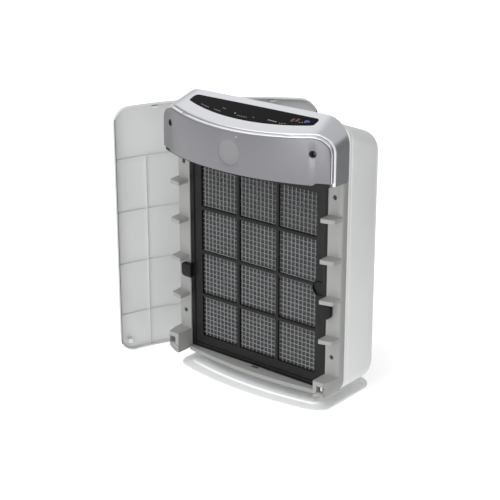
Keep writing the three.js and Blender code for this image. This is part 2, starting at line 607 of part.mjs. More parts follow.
function addLip() {
  const outer = bowedBlock({ inset: LIP_INSET, front: behindBow(LIP_FRONT), back: behindBow(LIP_BACK),
    bottom: FASCIA_BOTTOM_Z });
  const inner = bowedBlock({ inset: LIP_INSET + LIP_WALL, front: behindBow(LIP_FRONT - CUT),
    back: behindBow(LIP_BACK + CUT), bottom: FASCIA_BOTTOM_Z - CUT });
  const notchDepth = LIP_WALL * 0.6;
  const notches = [-1, 1].map((side) => {
    const middle = side * COVER_CLIP_X;
    const y0 = bowY(middle, 0);
    const z = topZ(middle, bowY(middle, LIP_BACK), LIP_INSET);
    return box(middle - CLIP_NOTCH_WIDTH / 2, middle + CLIP_NOTCH_WIDTH / 2, y0 - 10, y0 + 20,
      z - notchDepth, z + 20);
  });
  addPiece("trim_lip", cutBy(outer.subtract(inner), notches), "bright_lip");
}

/** The control overlay's outline with a margin, from one depth under the top's surface to another. */
function overlayBlock(margin, under, over) {
  const half = OVERLAY_HALF_WIDTH + margin;
  const steps = 10;
  const rings = [];
  for (let i = 0; i <= steps; i += 1) {
    const x = -half + (2 * half * i) / steps;
    const y0 = bowY(x, OVERLAY_FRONT_SETBACK - margin);
    const y1 = OVERLAY_BACK_Y + margin;
    rings.push([[x, y0, topZ(x, y0) - under], [x, y0, topZ(x, y0) + over],
      [x, y1, topZ(x, y1) + over], [x, y1, topZ(x, y1) - under]]);
  }
  return loft(rings);
}

function addCap() {
  const coreInset = LIP_INSET + LIP_WALL + CLEARANCE;
  const joint = CAP_FRONT + CAP_WALL;
  const outer = bowedBlock({ inset: 0, front: behindBow(CAP_FRONT), back: atPlane(RIDGE_Y),
    bottom: CAP_BOTTOM_Z });
  const core = bowedBlock({ inset: coreInset, front: behindBow(LIP_FRONT), back: behindBow(joint),
    bottom: CAP_BOTTOM_Z });
  const deep = bowedBlock({ inset: CAP_WALL + 1, front: behindBow(joint), back: atPlane(RIDGE_Y + CUT),
    bottom: CAP_BOTTOM_Z - CUT });
  const shallow = bowedBlock({ inset: coreInset + CAP_WALL, front: behindBow(LIP_FRONT + CAP_WALL),
    back: behindBow(joint + CUT), bottom: CAP_BOTTOM_Z - CUT });
  const sides = [-1, 1].map((side) => side * FASCIA_SCREW_X);
  const bossBackY = FASCIA_SCREW_SEAT_Y + 12;
  const bosses = sides.map((x) =>
    barY(SCREW_BOSS_RADIUS, FASCIA_SCREW_SEAT_Y, bossBackY, x, FASCIA_SCREW_Z, 16));
  const cutters = sides.flatMap((x) => [
    headPocket(x, FASCIA_SCREW_Z, FASCIA_APEX_Y, FASCIA_SCREW_SEAT_Y),
    hole(x, FASCIA_SCREW_Z, FASCIA_APEX_Y, bossBackY + CUT),
  ]);
  const recess = overlayBlock(CLEARANCE, OVERLAY_THICKNESS + CLEARANCE, CUT);
  const shell = cutBy(joined([outer, core]), [deep, shallow]);
  addPiece("top_cap", cutBy(joined([shell, ...bosses]), [...cutters, recess]), "silver_cap");
  sides.forEach((x, i) => {
    const fixing = screw(x, FASCIA_SCREW_Z, FASCIA_SCREW_SEAT_Y - CLEARANCE, 11);
    addPiece(`fascia_screw_${i + 1}`, fixing, "steel");
  });
}

const BOARD_DROP = 22; // control board below the panel
const BOARD_HALF_WIDTH = 120;
const BOARD_FRONT_Y = -52;
const BOARD_BACK_Y = -6;
const BOARD_THICKNESS = 1.6;
const CARRIER_THICKNESS = 3;

function addControls() {
  addPiece("control_overlay", overlayBlock(0, OVERLAY_THICKNESS, 0), "black_gloss");
  const boardZ = topZ(0, OVERLAY_BACK_Y - 40) - BOARD_DROP;
  const board = box(-BOARD_HALF_WIDTH, BOARD_HALF_WIDTH, BOARD_FRONT_Y, BOARD_BACK_Y,
    boardZ, boardZ + BOARD_THICKNESS);
  const display = box(88, 118, -30, -8, boardZ + 1, boardZ + 6);
  const driver = box(-60, -30, -35, -15, boardZ + 1, boardZ + 4);
  addPiece("display_board", joined([board, display, driver]), "board");
  const inset = LIP_INSET + LIP_WALL + CAP_WALL + 3 * CLEARANCE;
  const carrier = bowedBlock({ inset, front: behindBow(LIP_FRONT + CAP_WALL + CLEARANCE),
    back: atPlane(RIDGE_Y - CLEARANCE), bottom: CAP_BOTTOM_Z + CLEARANCE });
  const slab = box(-HALF_WIDTH, HALF_WIDTH, FASCIA_APEX_Y, PARTING_Y, CAP_BOTTOM_Z,
    CAP_BOTTOM_Z + CARRIER_THICKNESS);
  addPiece("panel_carrier", carrier.intersect(slab), "grey_plastic");
}

// ---- Rails with their tabs and lugs -------------------------------------------------------------
const SWITCH_FRONT_Y = LUG_FRONT_Y + SOCKET_DEPTH + 7;
const SWITCH_BACK_Y = RAIL_FRONT_Y + RAIL_WALL - 2;
const RAIL_SCREW_X = HALF_WIDTH - RAIL_SCREW_INSET;
const RAIL_SCREW_ZS = [RAIL_SCREW_LOW_Z, CAP_BOTTOM_Z - RAIL_SCREW_HIGH_DROP];
const RAIL_SEAT_Y = RAIL_FRONT_Y + 5;

function rightRail() {
  const faceBackY = RAIL_FRONT_Y + RAIL_WALL;
  const outline = frontOutline(RAIL_FRONT_Y, RIDGE_Y, 0);
  const side = box(RAIL_INNER_X, HALF_WIDTH + CUT, RAIL_FRONT_Y - CUT, PARTING_Y, 0, RIDGE_Z);
  const strip = outline.intersect(side);
  const pocket = frontOutline(faceBackY, PARTING_Y + CUT, SHELL_WALL);
  const overlap = RAIL_FRONT_Y + CUT;
  const tabX = RAIL_INNER_X + TAB_INSET;
  const tabNose = 3;
  const tabShape = polygon([[tabX, overlap], [tabX, TAB_INNER_Y + tabNose], [tabX + 1, TAB_INNER_Y + 0.8],
    [tabX + tabNose, TAB_INNER_Y], [HALF_WIDTH - 2, TAB_OUTER_Y], [HALF_WIDTH, TAB_OUTER_Y + 2],
    [HALF_WIDTH, overlap]]);
  const tabs = [];
  for (let i = 0; i < TAB_COUNT; i += 1) {
    const z = TAB_FIRST_Z + i * TAB_PITCH;
    tabs.push(planPrism(tabShape, z, z + TAB_THICKNESS));
  }
  const lugX = RAIL_INNER_X + 1;
  const lugBend = SOCKET_X + SOCKET_WIDTH / 2 + 1;
  const lugShape = polygon([[lugX, overlap], [lugX, LUG_FRONT_Y + 1], [lugX + 1, LUG_FRONT_Y],
    [lugBend, LUG_FRONT_Y], [HALF_WIDTH, LUG_FRONT_Y + 21], [HALF_WIDTH, overlap]]);
  const lug = planPrism(lugShape, BODY_UNDERSIDE_Z, LUG_TOP_Z)
    .intersect(frontOutline(LUG_FRONT_Y - CUT, PARTING_Y, 0));
  return cutBy(joined([strip.subtract(pocket), ...tabs, lug]), [
    socketBox(LUG_FRONT_Y - CUT, LUG_FRONT_Y + SOCKET_DEPTH, 0),
    ...RAIL_SCREW_ZS.flatMap((z) => [
      headPocket(RAIL_SCREW_X, z, RAIL_FRONT_Y - CUT, RAIL_SEAT_Y),
      hole(RAIL_SCREW_X, z, RAIL_FRONT_Y, faceBackY + CUT),
    ]),
  ]);
}

/** A block on the socket's axis, shrunk all round. */
function socketBox(y0, y1, shrink) {
  const halfWidth = SOCKET_WIDTH / 2 - shrink;
  const halfHeight = SOCKET_HEIGHT / 2 - shrink;
  return box(SOCKET_X - halfWidth, SOCKET_X + halfWidth, y0, y1,
    SOCKET_Z - halfHeight, SOCKET_Z + halfHeight);
}

const PLUNGER_HALF_WIDTH = 2;
const PLUNGER_HALF_HEIGHT = 4.5;

function plungerBox(y0, y1, grow) {
  const halfWidth = PLUNGER_HALF_WIDTH + grow;
  const halfHeight = PLUNGER_HALF_HEIGHT + grow;
  return box(SOCKET_X - halfWidth, SOCKET_X + halfWidth, y0, y1,
    SOCKET_Z - halfHeight, SOCKET_Z + halfHeight);
}

function addRails() {
  const rail = rightRail();
  addPiece("rail_left", mirrored(rail), "grey_plastic");
  const switchBay = socketBox(SWITCH_FRONT_Y - CLEARANCE, RAIL_FRONT_Y + RAIL_WALL + CUT, 1);
  const slot = plungerBox(LUG_FRONT_Y, SWITCH_FRONT_Y, CLEARANCE);
  addPiece("rail_right", cutBy(rail, [switchBay, slot]), "grey_plastic");
  [-1, 1].forEach((side) => RAIL_SCREW_ZS.forEach((z, i) => {
    const name = `rail_screw_${side < 0 ? "left" : "right"}_${i + 1}`;
    addPiece(name, screw(side * RAIL_SCREW_X, z, RAIL_SEAT_Y - CLEARANCE, 9), "steel");
  }));
  addPiece("interlock_switch", socketBox(SWITCH_FRONT_Y, SWITCH_BACK_Y, 1 + CLEARANCE), "black_plastic");
  const plunger = plungerBox(LUG_FRONT_Y + SOCKET_DEPTH - 8, SWITCH_FRONT_Y - PLUNGER_TRAVEL - CLEARANCE, 0);
  addPiece("interlock_plunger", plunger, "white_cover");
}

// ---- Filter bay ---------------------------------------------------------------------------------
const BAY_BOSS_RADIUS = 6;
const BAY_BOSS_LENGTH = 8;
const NOTCH_HALF_WIDTH = 9; // finger notch in the ledge
const GUARD_RING_RADII = [26, 52];
const GUARD_BAR = 2;
const GUARD_RIM = 3;
const GASKET_BORDER = 10;
const GASKET_INSET = 1; // inside the filter's edge

function addBay() {
  const outerX = RAIL_INNER_X + BAY_WALL;
  const frontY = RAIL_FRONT_Y + RAIL_WALL + CLEARANCE;
  const floorZ = FILTER_Z0 - FILTER_SIDE_GAP;
  const backY = BAY_BACK_Y + BAY_WALL;
  const topZ1 = CAP_BOTTOM_Z - CLEARANCE;
  const tub = box(-outerX, outerX, frontY, backY, BODY_UNDERSIDE_Z, topZ1)
    .subtract(box(-RAIL_INNER_X, RAIL_INNER_X, frontY - CUT, BAY_BACK_Y, floorZ, BAY_TOP_Z));
  const bosses = [-1, 1].flatMap((side) => RAIL_SCREW_ZS.map((z) => {
    const x = side * RAIL_SCREW_X;
    const wall = side * (outerX - CUT);
    const reach = box(Math.min(x, wall), Math.max(x, wall), frontY, frontY + BAY_BOSS_LENGTH,
      z - BAY_BOSS_RADIUS, z + BAY_BOSS_RADIUS);
    return reach.add(barY(BAY_BOSS_RADIUS, frontY, frontY + BAY_BOSS_LENGTH, x, z, 16));
  }));
  const holes = [-1, 1].flatMap((side) => RAIL_SCREW_ZS.map((z) =>
    hole(side * RAIL_SCREW_X, z, frontY - CUT, frontY + BAY_BOSS_LENGTH + CUT)));
  const bow = barZ(LEDGE_RADIUS, 0, FILTER_Z0, 0, LEDGE_APEX_Y + LEDGE_RADIUS, 160);
  const ledgeHalf = RAIL_INNER_X - CLEARANCE;
  const ledgeBlock = box(-ledgeHalf, ledgeHalf, LEDGE_APEX_Y - CUT, frontY + CUT, LEDGE_LIP_Z, floorZ);
  const ledge = ledgeBlock.intersect(bow);
  const fingerNotch = box(-NOTCH_HALF_WIDTH, NOTCH_HALF_WIDTH, PREFILTER_FRONT_Y - 6,
    PREFILTER_FRONT_Y - 1, floorZ - 3, floorZ + CUT);
  const rearFit = shellInside(CLEARANCE);
  const inlet = barY(INLET_RADIUS, BAY_BACK_Y - CUT, backY + CUT, 0, FAN_Z, 40);
  const header = box(-ledgeHalf, ledgeHalf, RAIL_FRONT_Y, frontY + CUT, BAY_TOP_Z, topZ1);
  const whole = joined([joined([tub, ...bosses]).intersect(rearFit), ledge, header]);
  addPiece("filter_bay", cutBy(whole, [...holes, fingerNotch, inlet]), "grey_plastic");

  const guardRings = GUARD_RING_RADII.map((r) => turnedY([[r, BAY_BACK_Y + 0.5],
    [r + GUARD_BAR, BAY_BACK_Y + 0.5], [r + GUARD_BAR, backY - 0.5], [r, backY - 0.5]], 0, FAN_Z, 24));
  const rimRadius = INLET_RADIUS - CLEARANCE;
  const rim = turnedY([[rimRadius - GUARD_RIM, BAY_BACK_Y + 0.2], [rimRadius, BAY_BACK_Y + 0.2],
    [rimRadius, backY - 0.2], [rimRadius - GUARD_RIM, backY - 0.2]], 0, FAN_Z, 40);
  const spokes = [0, 60, 120].map((turn) =>
    box(-rimRadius + GUARD_BAR, rimRadius - GUARD_BAR, BAY_BACK_Y + 0.6, backY - 0.6,
      -GUARD_BAR / 2, GUARD_BAR / 2)
      .rotate([0, turn, 0]).translate([0, 0, FAN_Z]));
  addPiece("inlet_guard", joined([rim, ...guardRings, ...spokes]), "black_plastic");

  const gasketHalf = FILTER_HALF_WIDTH - GASKET_INSET;
  const gasketZ0 = FILTER_Z0 + GASKET_INSET;
  const gasketZ1 = FILTER_Z1 - GASKET_INSET;
  const gasketHole = box(-gasketHalf + GASKET_BORDER, gasketHalf - GASKET_BORDER, GASKET_Y - CUT,
    BAY_BACK_Y + CUT, gasketZ0 + GASKET_BORDER, gasketZ1 - GASKET_BORDER);
  const gasket = box(-gasketHalf, gasketHalf, GASKET_Y, GASKET_Y + GASKET_THICKNESS, gasketZ0, gasketZ1)
    .subtract(gasketHole);
  addPiece("filter_gasket", gasket, "foam");
}

// ---- Filters ------------------------------------------------------------------------------------
const WINDOWS_HALF_WIDTH = FILTER_HALF_WIDTH - WINDOW_BORDER;
const WINDOWS_Z0 = FILTER_Z0 + WINDOW_BORDER;
const WINDOWS_Z1 = FILTER_Z1 - WINDOW_BORDER;
const WINDOW_PITCH_X = (2 * WINDOWS_HALF_WIDTH + WINDOW_BAR) / WINDOW_COLUMNS;
const WINDOW_PITCH_Z = (WINDOWS_Z1 - WINDOWS_Z0 + WINDOW_BAR) / WINDOW_ROWS;
const PULL_Z1 = TAB_FIRST_Z + TAB_PITCH - PULL_UNDER_TAB;
const PULL_Z0 = PULL_Z1 - PULL_HEIGHT;
const GRIP_Z = FILTER_MIDDLE_Z - GRIP_DROP;
const GRIP_X = WINDOWS_HALF_WIDTH + 7;
const MESH_MARGIN = 6;
const MESH_SEAT_DEPTH = 4;
const FRAME_RIM = 9; // raised rim round the pre-filter's front
const FRAME_STEP = 3; // how far the bars lie behind the rim
const PULL_ROOT = 8; // how far each pull block runs in over the frame
const PULL_CORNER = 8; // slant across its lower outer corner
const GRIP_WALL = 2;

function addPrefilter() {
  const backY = PREFILTER_FRONT_Y + PREFILTER_THICKNESS;
  const plate = roundedRect(-FILTER_HALF_WIDTH, FILTER_HALF_WIDTH, FILTER_Z0, FILTER_Z1, 2, 2);
  const windows = [];
  for (let i = 0; i < WINDOW_COLUMNS; i += 1) {
    for (let j = 0; j < WINDOW_ROWS; j += 1) {
      const x = i * WINDOW_PITCH_X - WINDOWS_HALF_WIDTH;
      const z = WINDOWS_Z0 + j * WINDOW_PITCH_Z;
      windows.push(box(x, x + WINDOW_PITCH_X - WINDOW_BAR, PREFILTER_FRONT_Y - CUT, backY + CUT,
        z, z + WINDOW_PITCH_Z - WINDOW_BAR));
    }
  }
  const blocks = [-1, 1].map((side) => {
    const inner = side * (FILTER_HALF_WIDTH - PULL_ROOT);
    const outer = side * (FILTER_HALF_WIDTH + PULL_REACH);
    const shape = polygon([[inner, PULL_Z0], [outer - side * PULL_CORNER, PULL_Z0], [outer, PULL_Z0 + 9],
      [outer, PULL_Z1], [inner, PULL_Z1]]);
    const front = frontPrism(shape, PULL_FRONT_Y, RAIL_FRONT_Y - CLEARANCE);
    const reach = FILTER_HALF_WIDTH * side;
    return front.add(box(Math.min(inner, reach), Math.max(inner, reach), PULL_FRONT_Y,
      PREFILTER_FRONT_Y + CUT, PULL_Z0, PULL_Z1));
  });
  const grip = barY(GRIP_RADIUS, PREFILTER_FRONT_Y + FRAME_STEP, backY, GRIP_X, GRIP_Z, 32);
  const gripHollow = barY(GRIP_RADIUS - GRIP_WALL, PREFILTER_FRONT_Y - CUT, backY - 5, GRIP_X, GRIP_Z, 32);
  const stepX = FILTER_HALF_WIDTH - FRAME_RIM;
  const sunk = box(-stepX, stepX, PREFILTER_FRONT_Y - CUT, PREFILTER_FRONT_Y + FRAME_STEP,
    FILTER_Z0 + FRAME_RIM, FILTER_Z1 - FRAME_RIM);
  const meshHalf = WINDOWS_HALF_WIDTH + MESH_MARGIN + CLEARANCE;
  const meshZ0 = WINDOWS_Z0 - MESH_MARGIN - CLEARANCE;
  const meshZ1 = WINDOWS_Z1 + MESH_MARGIN + CLEARANCE;
  const meshSeat = box(-meshHalf, meshHalf, backY - MESH_SEAT_DEPTH, backY + CUT, meshZ0, meshZ1);
  const border = cutBy(frontPrism(plate, PREFILTER_FRONT_Y, backY, 2), [sunk, ...windows]);
  const frame = cutBy(joined([border, grip, ...blocks]), [gripHollow, meshSeat]);
  addPiece("prefilter_frame", frame, "black_plastic");
  const netY = backY - MESH_SEAT_DEPTH + CLEARANCE;
  const net = box(-meshHalf + CLEARANCE, meshHalf - CLEARANCE, netY, netY + MESH_THICKNESS,
    meshZ0 + CLEARANCE, meshZ1 - CLEARANCE);
  addPiece("prefilter_net", net, "nylon_mesh");
}

/** A filter's border as an open frame. */
function filterBorder(y0, y1) {
  return box(-FILTER_HALF_WIDTH, FILTER_HALF_WIDTH, y0, y1, FILTER_Z0, FILTER_Z1)
    .subtract(box(-FILTER_HALF_WIDTH + MEDIA_BORDER, FILTER_HALF_WIDTH - MEDIA_BORDER, y0 - CUT, y1 + CUT,
      FILTER_Z0 + MEDIA_BORDER, FILTER_Z1 - MEDIA_BORDER));
}

const PAPER_THICKNESS = 1.6;

function addMainFilters() {
  const half = FILTER_HALF_WIDTH - MEDIA_BORDER - CLEARANCE;
  const z0 = FILTER_Z0 + MEDIA_BORDER + CLEARANCE;
  const z1 = FILTER_Z1 - MEDIA_BORDER - CLEARANCE;
  addPiece("carbon_frame", filterBorder(CARBON_Y, CARBON_Y + CARBON_THICKNESS), "black_plastic");
  addPiece("carbon_media", box(-half, half, CARBON_Y + 1, CARBON_Y + CARBON_THICKNESS - 1, z0, z1), "carbon");
  addPiece("hepa_frame", filterBorder(HEPA_Y, HEPA_Y + HEPA_THICKNESS), "filter_paper");
  const pitch = (2 * half) / PLEAT_COUNT;
  const foldFront = [];
  const foldBack = [];
  for (let i = 0; i <= PLEAT_COUNT; i += 1) {
    const x = -half + i * pitch;
    foldFront.push([x, HEPA_Y + 1]);
    foldBack.unshift([x, HEPA_Y + 1 + PAPER_THICKNESS * 2]);
    if (i < PLEAT_COUNT) {
      foldFront.push([x + pitch / 2, HEPA_Y + HEPA_THICKNESS - 1 - PAPER_THICKNESS * 2]);
      foldBack.unshift([x + pitch / 2, HEPA_Y + HEPA_THICKNESS - 1]);
    }
  }
  addPiece("hepa_media", planPrism(polygon([...foldFront, ...foldBack]), z0, z1), "filter_paper");
}

// ---- Fan ----------------------------------------------------------------------------------------
const HOUSING_TOP_Z = shellTopZ(HOUSING_Y1) - SHELL_WALL - 8;

/** The fan's scroll, opening into a duct that leaves at the top. */
function scrollOutline(inset, topZ1) {
  const tongue = Math.PI / 3;
  const sweep = tongue + Math.PI;
  const steps = 20;
  const points = [];
  for (let i = 0; i <= steps; i += 1) {
    const angle = tongue - (sweep * i) / steps;
    const radius = WHEEL_RADIUS + 12 + (SCROLL_GROWTH * i) / steps - inset;
    points.push([radius * Math.cos(angle), FAN_Z + radius * Math.sin(angle)]);
  }
  const wallX = WHEEL_RADIUS + 12 + SCROLL_GROWTH - inset;
  points.push([-wallX, topZ1], [wallX, topZ1]);
  return polygon(points);
}

const MOTOR_LENGTH = 24;
const MOTOR_NOSE_RADIUS = 14;
const MOTOR_NOSE_LENGTH = 5;
const MOTOR_BOLT_INSET = 8; // bolt circle inside the motor's edge
const SHAFT_DEPTH = 8; // how far the shaft reaches into the motor
const HUB_LENGTH = 14; // hub's front ahead of the motor
const HUB_WALL = 3;

function addFan() {
  const outer = frontPrism(scrollOutline(0, HOUSING_TOP_Z), HOUSING_Y0, HOUSING_Y1);
  const inner = frontPrism(scrollOutline(HOUSING_WALL, HOUSING_TOP_Z + CUT),
    HOUSING_Y0 + HOUSING_WALL, HOUSING_Y1 - HOUSING_WALL);
  const motorY1 = HOUSING_Y1 - HOUSING_WALL - CLEARANCE;
  const motorY0 = motorY1 - MOTOR_LENGTH;
  const boltCircle = MOTOR_RADIUS - MOTOR_BOLT_INSET;
  const bolts = [90, 210, 330].map((turn) => {
    const angle = (turn * Math.PI) / 180;
    return [boltCircle * Math.cos(angle), FAN_Z + boltCircle * Math.sin(angle)];
  });
  const mouth = barY(INLET_RADIUS, HOUSING_Y0 - CUT, HOUSING_Y0 + HOUSING_WALL + CUT, 0, FAN_Z, 40);
  const boltHoles = bolts.map(([x, z]) => hole(x, z, motorY1 - 6, HOUSING_Y1 + CUT));
  addPiece("fan_housing", cutBy(outer.subtract(inner), [mouth, ...boltHoles]), "fan_plastic");

  const motor = barY(MOTOR_RADIUS, motorY0, motorY1, 0, FAN_Z, 40)
    .add(barY(MOTOR_NOSE_RADIUS, motorY0 - MOTOR_NOSE_LENGTH, motorY0 + CUT, 0, FAN_Z, 24));
  const shaftHole = barY(SHAFT_RADIUS + CLEARANCE, motorY0 - MOTOR_NOSE_LENGTH - CUT, motorY0 + SHAFT_DEPTH,
    0, FAN_Z, 20);
  addPiece("fan_motor", cutBy(motor, [shaftHole, ...boltHoles]), "steel");
  bolts.forEach(([x, z], i) => {
    const bolt = screw(0, 0, 0, HOUSING_WALL + 5).rotate([0, 0, 180]);
    addPiece(`motor_screw_${i + 1}`, bolt.translate([x, HOUSING_Y1 + CLEARANCE, z]), "steel");
  });

  const hubFrontY = motorY0 - HUB_LENGTH;
  const ringFrontY = HOUSING_Y0 + HOUSING_WALL + 3;
  addPiece("motor_shaft", barY(SHAFT_RADIUS, hubFrontY - 4, motorY0 + SHAFT_DEPTH - CLEARANCE, 0, FAN_Z, 20),
    "steel");
  const wall = HUB_WALL;
  const hubRadius = MOTOR_RADIUS + 4;
  const flangeY = motorY1 - 8;
  const bladeOuter = WHEEL_RADIUS - 1;
  const boreRadius = SHAFT_RADIUS + CLEARANCE;
  const cup = turnedY([[boreRadius, hubFrontY], [hubRadius, hubFrontY], [hubRadius + wall, hubFrontY + wall],
    [hubRadius + 8, flangeY - wall], [WHEEL_RADIUS, flangeY - wall], [WHEEL_RADIUS, flangeY],
    [hubRadius + 5, flangeY], [hubRadius, hubFrontY + wall + 1], [boreRadius, hubFrontY + wall + 1]],
  0, FAN_Z, 32);
  const ring = turnedY([[bladeOuter - 9, ringFrontY], [WHEEL_RADIUS, ringFrontY],
    [WHEEL_RADIUS, ringFrontY + WHEEL_RING], [bladeOuter - 9, ringFrontY + WHEEL_RING]], 0, FAN_Z, 32);
  const blade = new THREE.Shape();
  blade.moveTo(bladeOuter - BLADE_CHORD, 0);
  blade.quadraticCurveTo(bladeOuter - BLADE_CHORD * 0.4, 1, bladeOuter, 7);
  blade.lineTo(bladeOuter - 1.4, 8);
  blade.quadraticCurveTo(bladeOuter - BLADE_CHORD * 0.4, 3, bladeOuter - BLADE_CHORD, 1.6);
  const oneBlade = frontPrism(blade, ringFrontY + 1, flangeY - 1, 2);
  const blades = [];
  for (let i = 0; i < BLADE_COUNT; i += 1) {
    blades.push(oneBlade.rotate([0, (360 * i) / BLADE_COUNT, 0]).translate([0, 0, FAN_Z]));
  }
  addPiece("blower_wheel", joined([cup, ring, ...blades]), "fan_plastic");
}

// ---- Electrics beside the bay -------------------------------------------------------------------
const POWER_BOARD_Y = [24, 84];
const POWER_BOARD_Z = [150, 290];
const CAPACITOR_RADIUS = 10;
const CAPACITOR_Z = [130, 182];

function addElectrics() {
  const sideX = HALF_WIDTH - SHELL_WALL - 6;
  const board = joined([
    box(-sideX, -sideX + BOARD_THICKNESS, ...POWER_BOARD_Y, ...POWER_BOARD_Z),
    box(-sideX + 1, -sideX + 14, 30, 52, 160, 190),
    box(-sideX + 1, -sideX + 11, 56, 76, 200, 226),
    box(-sideX + 1, -sideX + 9, 32, 60, 240, 262),
  ]);
  addPiece("power_board", board, "board");
  addPiece("motor_capacitor", barZ(CAPACITOR_RADIUS, ...CAPACITOR_Z, sideX - 6, 60, 20), "black_plastic");
  const sensor = box(sideX - 16, sideX, 26, 66, 330, 376)
    .subtract(box(sideX - 14, sideX - 2, 25, 40, 345, 361));
  addPiece("air_sensor", sensor, "black_plastic");
}

// ---- Loose front cover --------------------------------------------------------------------------
const COVER_RADIUS = ((COVER_WIDTH / 2) ** 2 + COVER_SAGITTA ** 2) / (2 * COVER_SAGITTA);

/** A band that follows the cover's bow, between two distances inside its outer face. */
function coverBand(outerInset, innerInset) {
  const centreY = COVER_SAGITTA - COVER_RADIUS;
  const half = COVER_WIDTH / 2;
  const steps = 16;
  const outer = [];
  const inner = [];
  for (let i = 0; i <= steps; i += 1) {
    const x = -half + (COVER_WIDTH * i) / steps;
    outer.push([x, centreY + Math.sqrt((COVER_RADIUS - outerInset) ** 2 - x * x)]);
    inner.unshift([x, centreY + Math.sqrt((COVER_RADIUS - innerInset) ** 2 - x * x)]);
  }
  return planPrism(polygon([...outer, ...inner]), 0, COVER_HEIGHT);
}

function coverOutline(inset) {
  const half = COVER_WIDTH / 2 - inset;
  const radius = COVER_CORNER_RADIUS - inset;
  const outline = roundedRect(-half, half, inset, COVER_HEIGHT - inset, radius, radius);
  return frontPrism(outline, -COVER_RADIUS, COVER_SAGITTA + CUT, 5);
}

const HOOK_HALF_WIDTH = 4;
const HOOK_REACH = 15; // past the skin's inner face
const HOOK_THICKNESS = 4;
const CLIP_HALF_WIDTH = 6;
const CLIP_REACH = 13;
const CLIP_THICKNESS = 3;

function addCover() {
  const half = COVER_WIDTH / 2;
  const skin = coverBand(0, COVER_WALL).intersect(coverOutline(0));
  const rim = coverBand(0, COVER_WALL + COVER_RIM_DEPTH).intersect(coverOutline(0))
    .subtract(coverOutline(COVER_WALL));
  const bars = [];
  const rowZ = (row) => COVER_RIB_FIRST_Z + row * COVER_RIB_PITCH;
  for (let row = 0; row < COVER_RIB_ROWS; row += 1) {
    bars.push(box(-half, half, -COVER_RADIUS, COVER_SAGITTA, rowZ(row), rowZ(row) + COVER_RIB_WALL));
  }
  for (let i = 0; i < COVER_UPRIGHTS; i += 1) {
    const x = (i - (COVER_UPRIGHTS - 1) / 2) * COVER_UPRIGHT_PITCH;
    bars.push(box(x - COVER_RIB_WALL / 2, x + COVER_RIB_WALL / 2, -COVER_RADIUS, COVER_SAGITTA,
      COVER_WALL / 2, rowZ(COVER_RIB_ROWS - 1) + COVER_RIB_WALL / 2));
  }
  const ribs = joined(bars).intersect(coverBand(COVER_WALL / 2, COVER_WALL + COVER_RIB_HEIGHT))
    .intersect(coverOutline(COVER_WALL / 2));
  const skinY = (x) => COVER_SAGITTA - COVER_RADIUS + Math.sqrt((COVER_RADIUS - COVER_WALL) ** 2 - x * x);
  const fittings = [-1, 1].flatMap((side) => {
    const hookX = side * SOCKET_X;
    const clipX = side * COVER_CLIP_X;
    const clipTop = COVER_HEIGHT - COVER_WALL - 2;
    return [
      box(hookX - HOOK_HALF_WIDTH, hookX + HOOK_HALF_WIDTH, skinY(hookX) - HOOK_REACH, skinY(hookX) + 3,
        COVER_HOOK_Z, COVER_HOOK_Z + HOOK_THICKNESS),
      box(hookX - HOOK_HALF_WIDTH, hookX + HOOK_HALF_WIDTH, skinY(hookX) - HOOK_REACH,
        skinY(hookX) - HOOK_REACH + 3, COVER_HOOK_Z - HOOK_THICKNESS, COVER_HOOK_Z + CUT),
      box(clipX - CLIP_HALF_WIDTH, clipX + CLIP_HALF_WIDTH, skinY(clipX) - CLIP_REACH, skinY(clipX) + 3,
        clipTop - CLIP_THICKNESS, clipTop),
    ].map((block) => block.subtract(coverBand(-20, 0)));
  });
  const cover = new THREE.Group();
  cover.position.set(COVER_MIDDLE[0], COVER_MIDDLE[1], 0);
  cover.rotation.z = THREE.MathUtils.degToRad(COVER_TURN);
  addPiece("front_cover", joined([skin, rim, ribs, ...fittings]), "white_cover", cover);
  purifier.add(cover);
}

addBase();
addShell();
addGrille();
addShellFixings();
addFascia();
addLip();
addCap();
addControls();
addRails();
addBay();
addPrefilter();
addMainFilters();
addFan();
addElectrics();
addCover();

export default purifier;
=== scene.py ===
# %% [markdown]
# # A room air purifier, opened for a filter change
#
# The purifier is a shallow upright box on a low base. Its bowed front cover has been lifted off and
# stands beside it, so the pre-filter shows in its bay between two grey rails. This lesson finishes
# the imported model: the model says where every piece is and how it moves, and each cell gives one
# piece the shape, edges and surface that its real maker gave it.

# %% The frame
import math

import bmesh
import bpy
from mathutils import Matrix, Vector


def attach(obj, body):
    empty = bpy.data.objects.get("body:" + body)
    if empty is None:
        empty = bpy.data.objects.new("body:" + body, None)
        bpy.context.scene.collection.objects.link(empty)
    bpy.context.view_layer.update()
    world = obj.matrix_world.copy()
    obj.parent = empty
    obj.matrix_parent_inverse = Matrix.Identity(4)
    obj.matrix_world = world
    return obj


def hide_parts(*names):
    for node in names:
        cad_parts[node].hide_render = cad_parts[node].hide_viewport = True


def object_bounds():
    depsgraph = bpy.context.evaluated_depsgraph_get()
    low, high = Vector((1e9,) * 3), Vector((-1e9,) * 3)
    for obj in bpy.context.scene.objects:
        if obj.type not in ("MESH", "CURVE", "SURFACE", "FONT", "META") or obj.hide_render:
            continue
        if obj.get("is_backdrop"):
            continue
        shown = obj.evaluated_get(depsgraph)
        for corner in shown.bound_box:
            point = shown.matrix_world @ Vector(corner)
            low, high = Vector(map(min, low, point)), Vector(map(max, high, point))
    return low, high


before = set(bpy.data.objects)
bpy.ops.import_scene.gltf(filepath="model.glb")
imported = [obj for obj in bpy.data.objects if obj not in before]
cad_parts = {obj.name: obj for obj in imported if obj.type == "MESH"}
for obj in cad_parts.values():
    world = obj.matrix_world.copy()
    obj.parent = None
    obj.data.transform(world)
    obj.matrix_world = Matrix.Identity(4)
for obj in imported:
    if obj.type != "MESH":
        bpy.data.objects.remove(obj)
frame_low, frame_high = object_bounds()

MM = 0.001


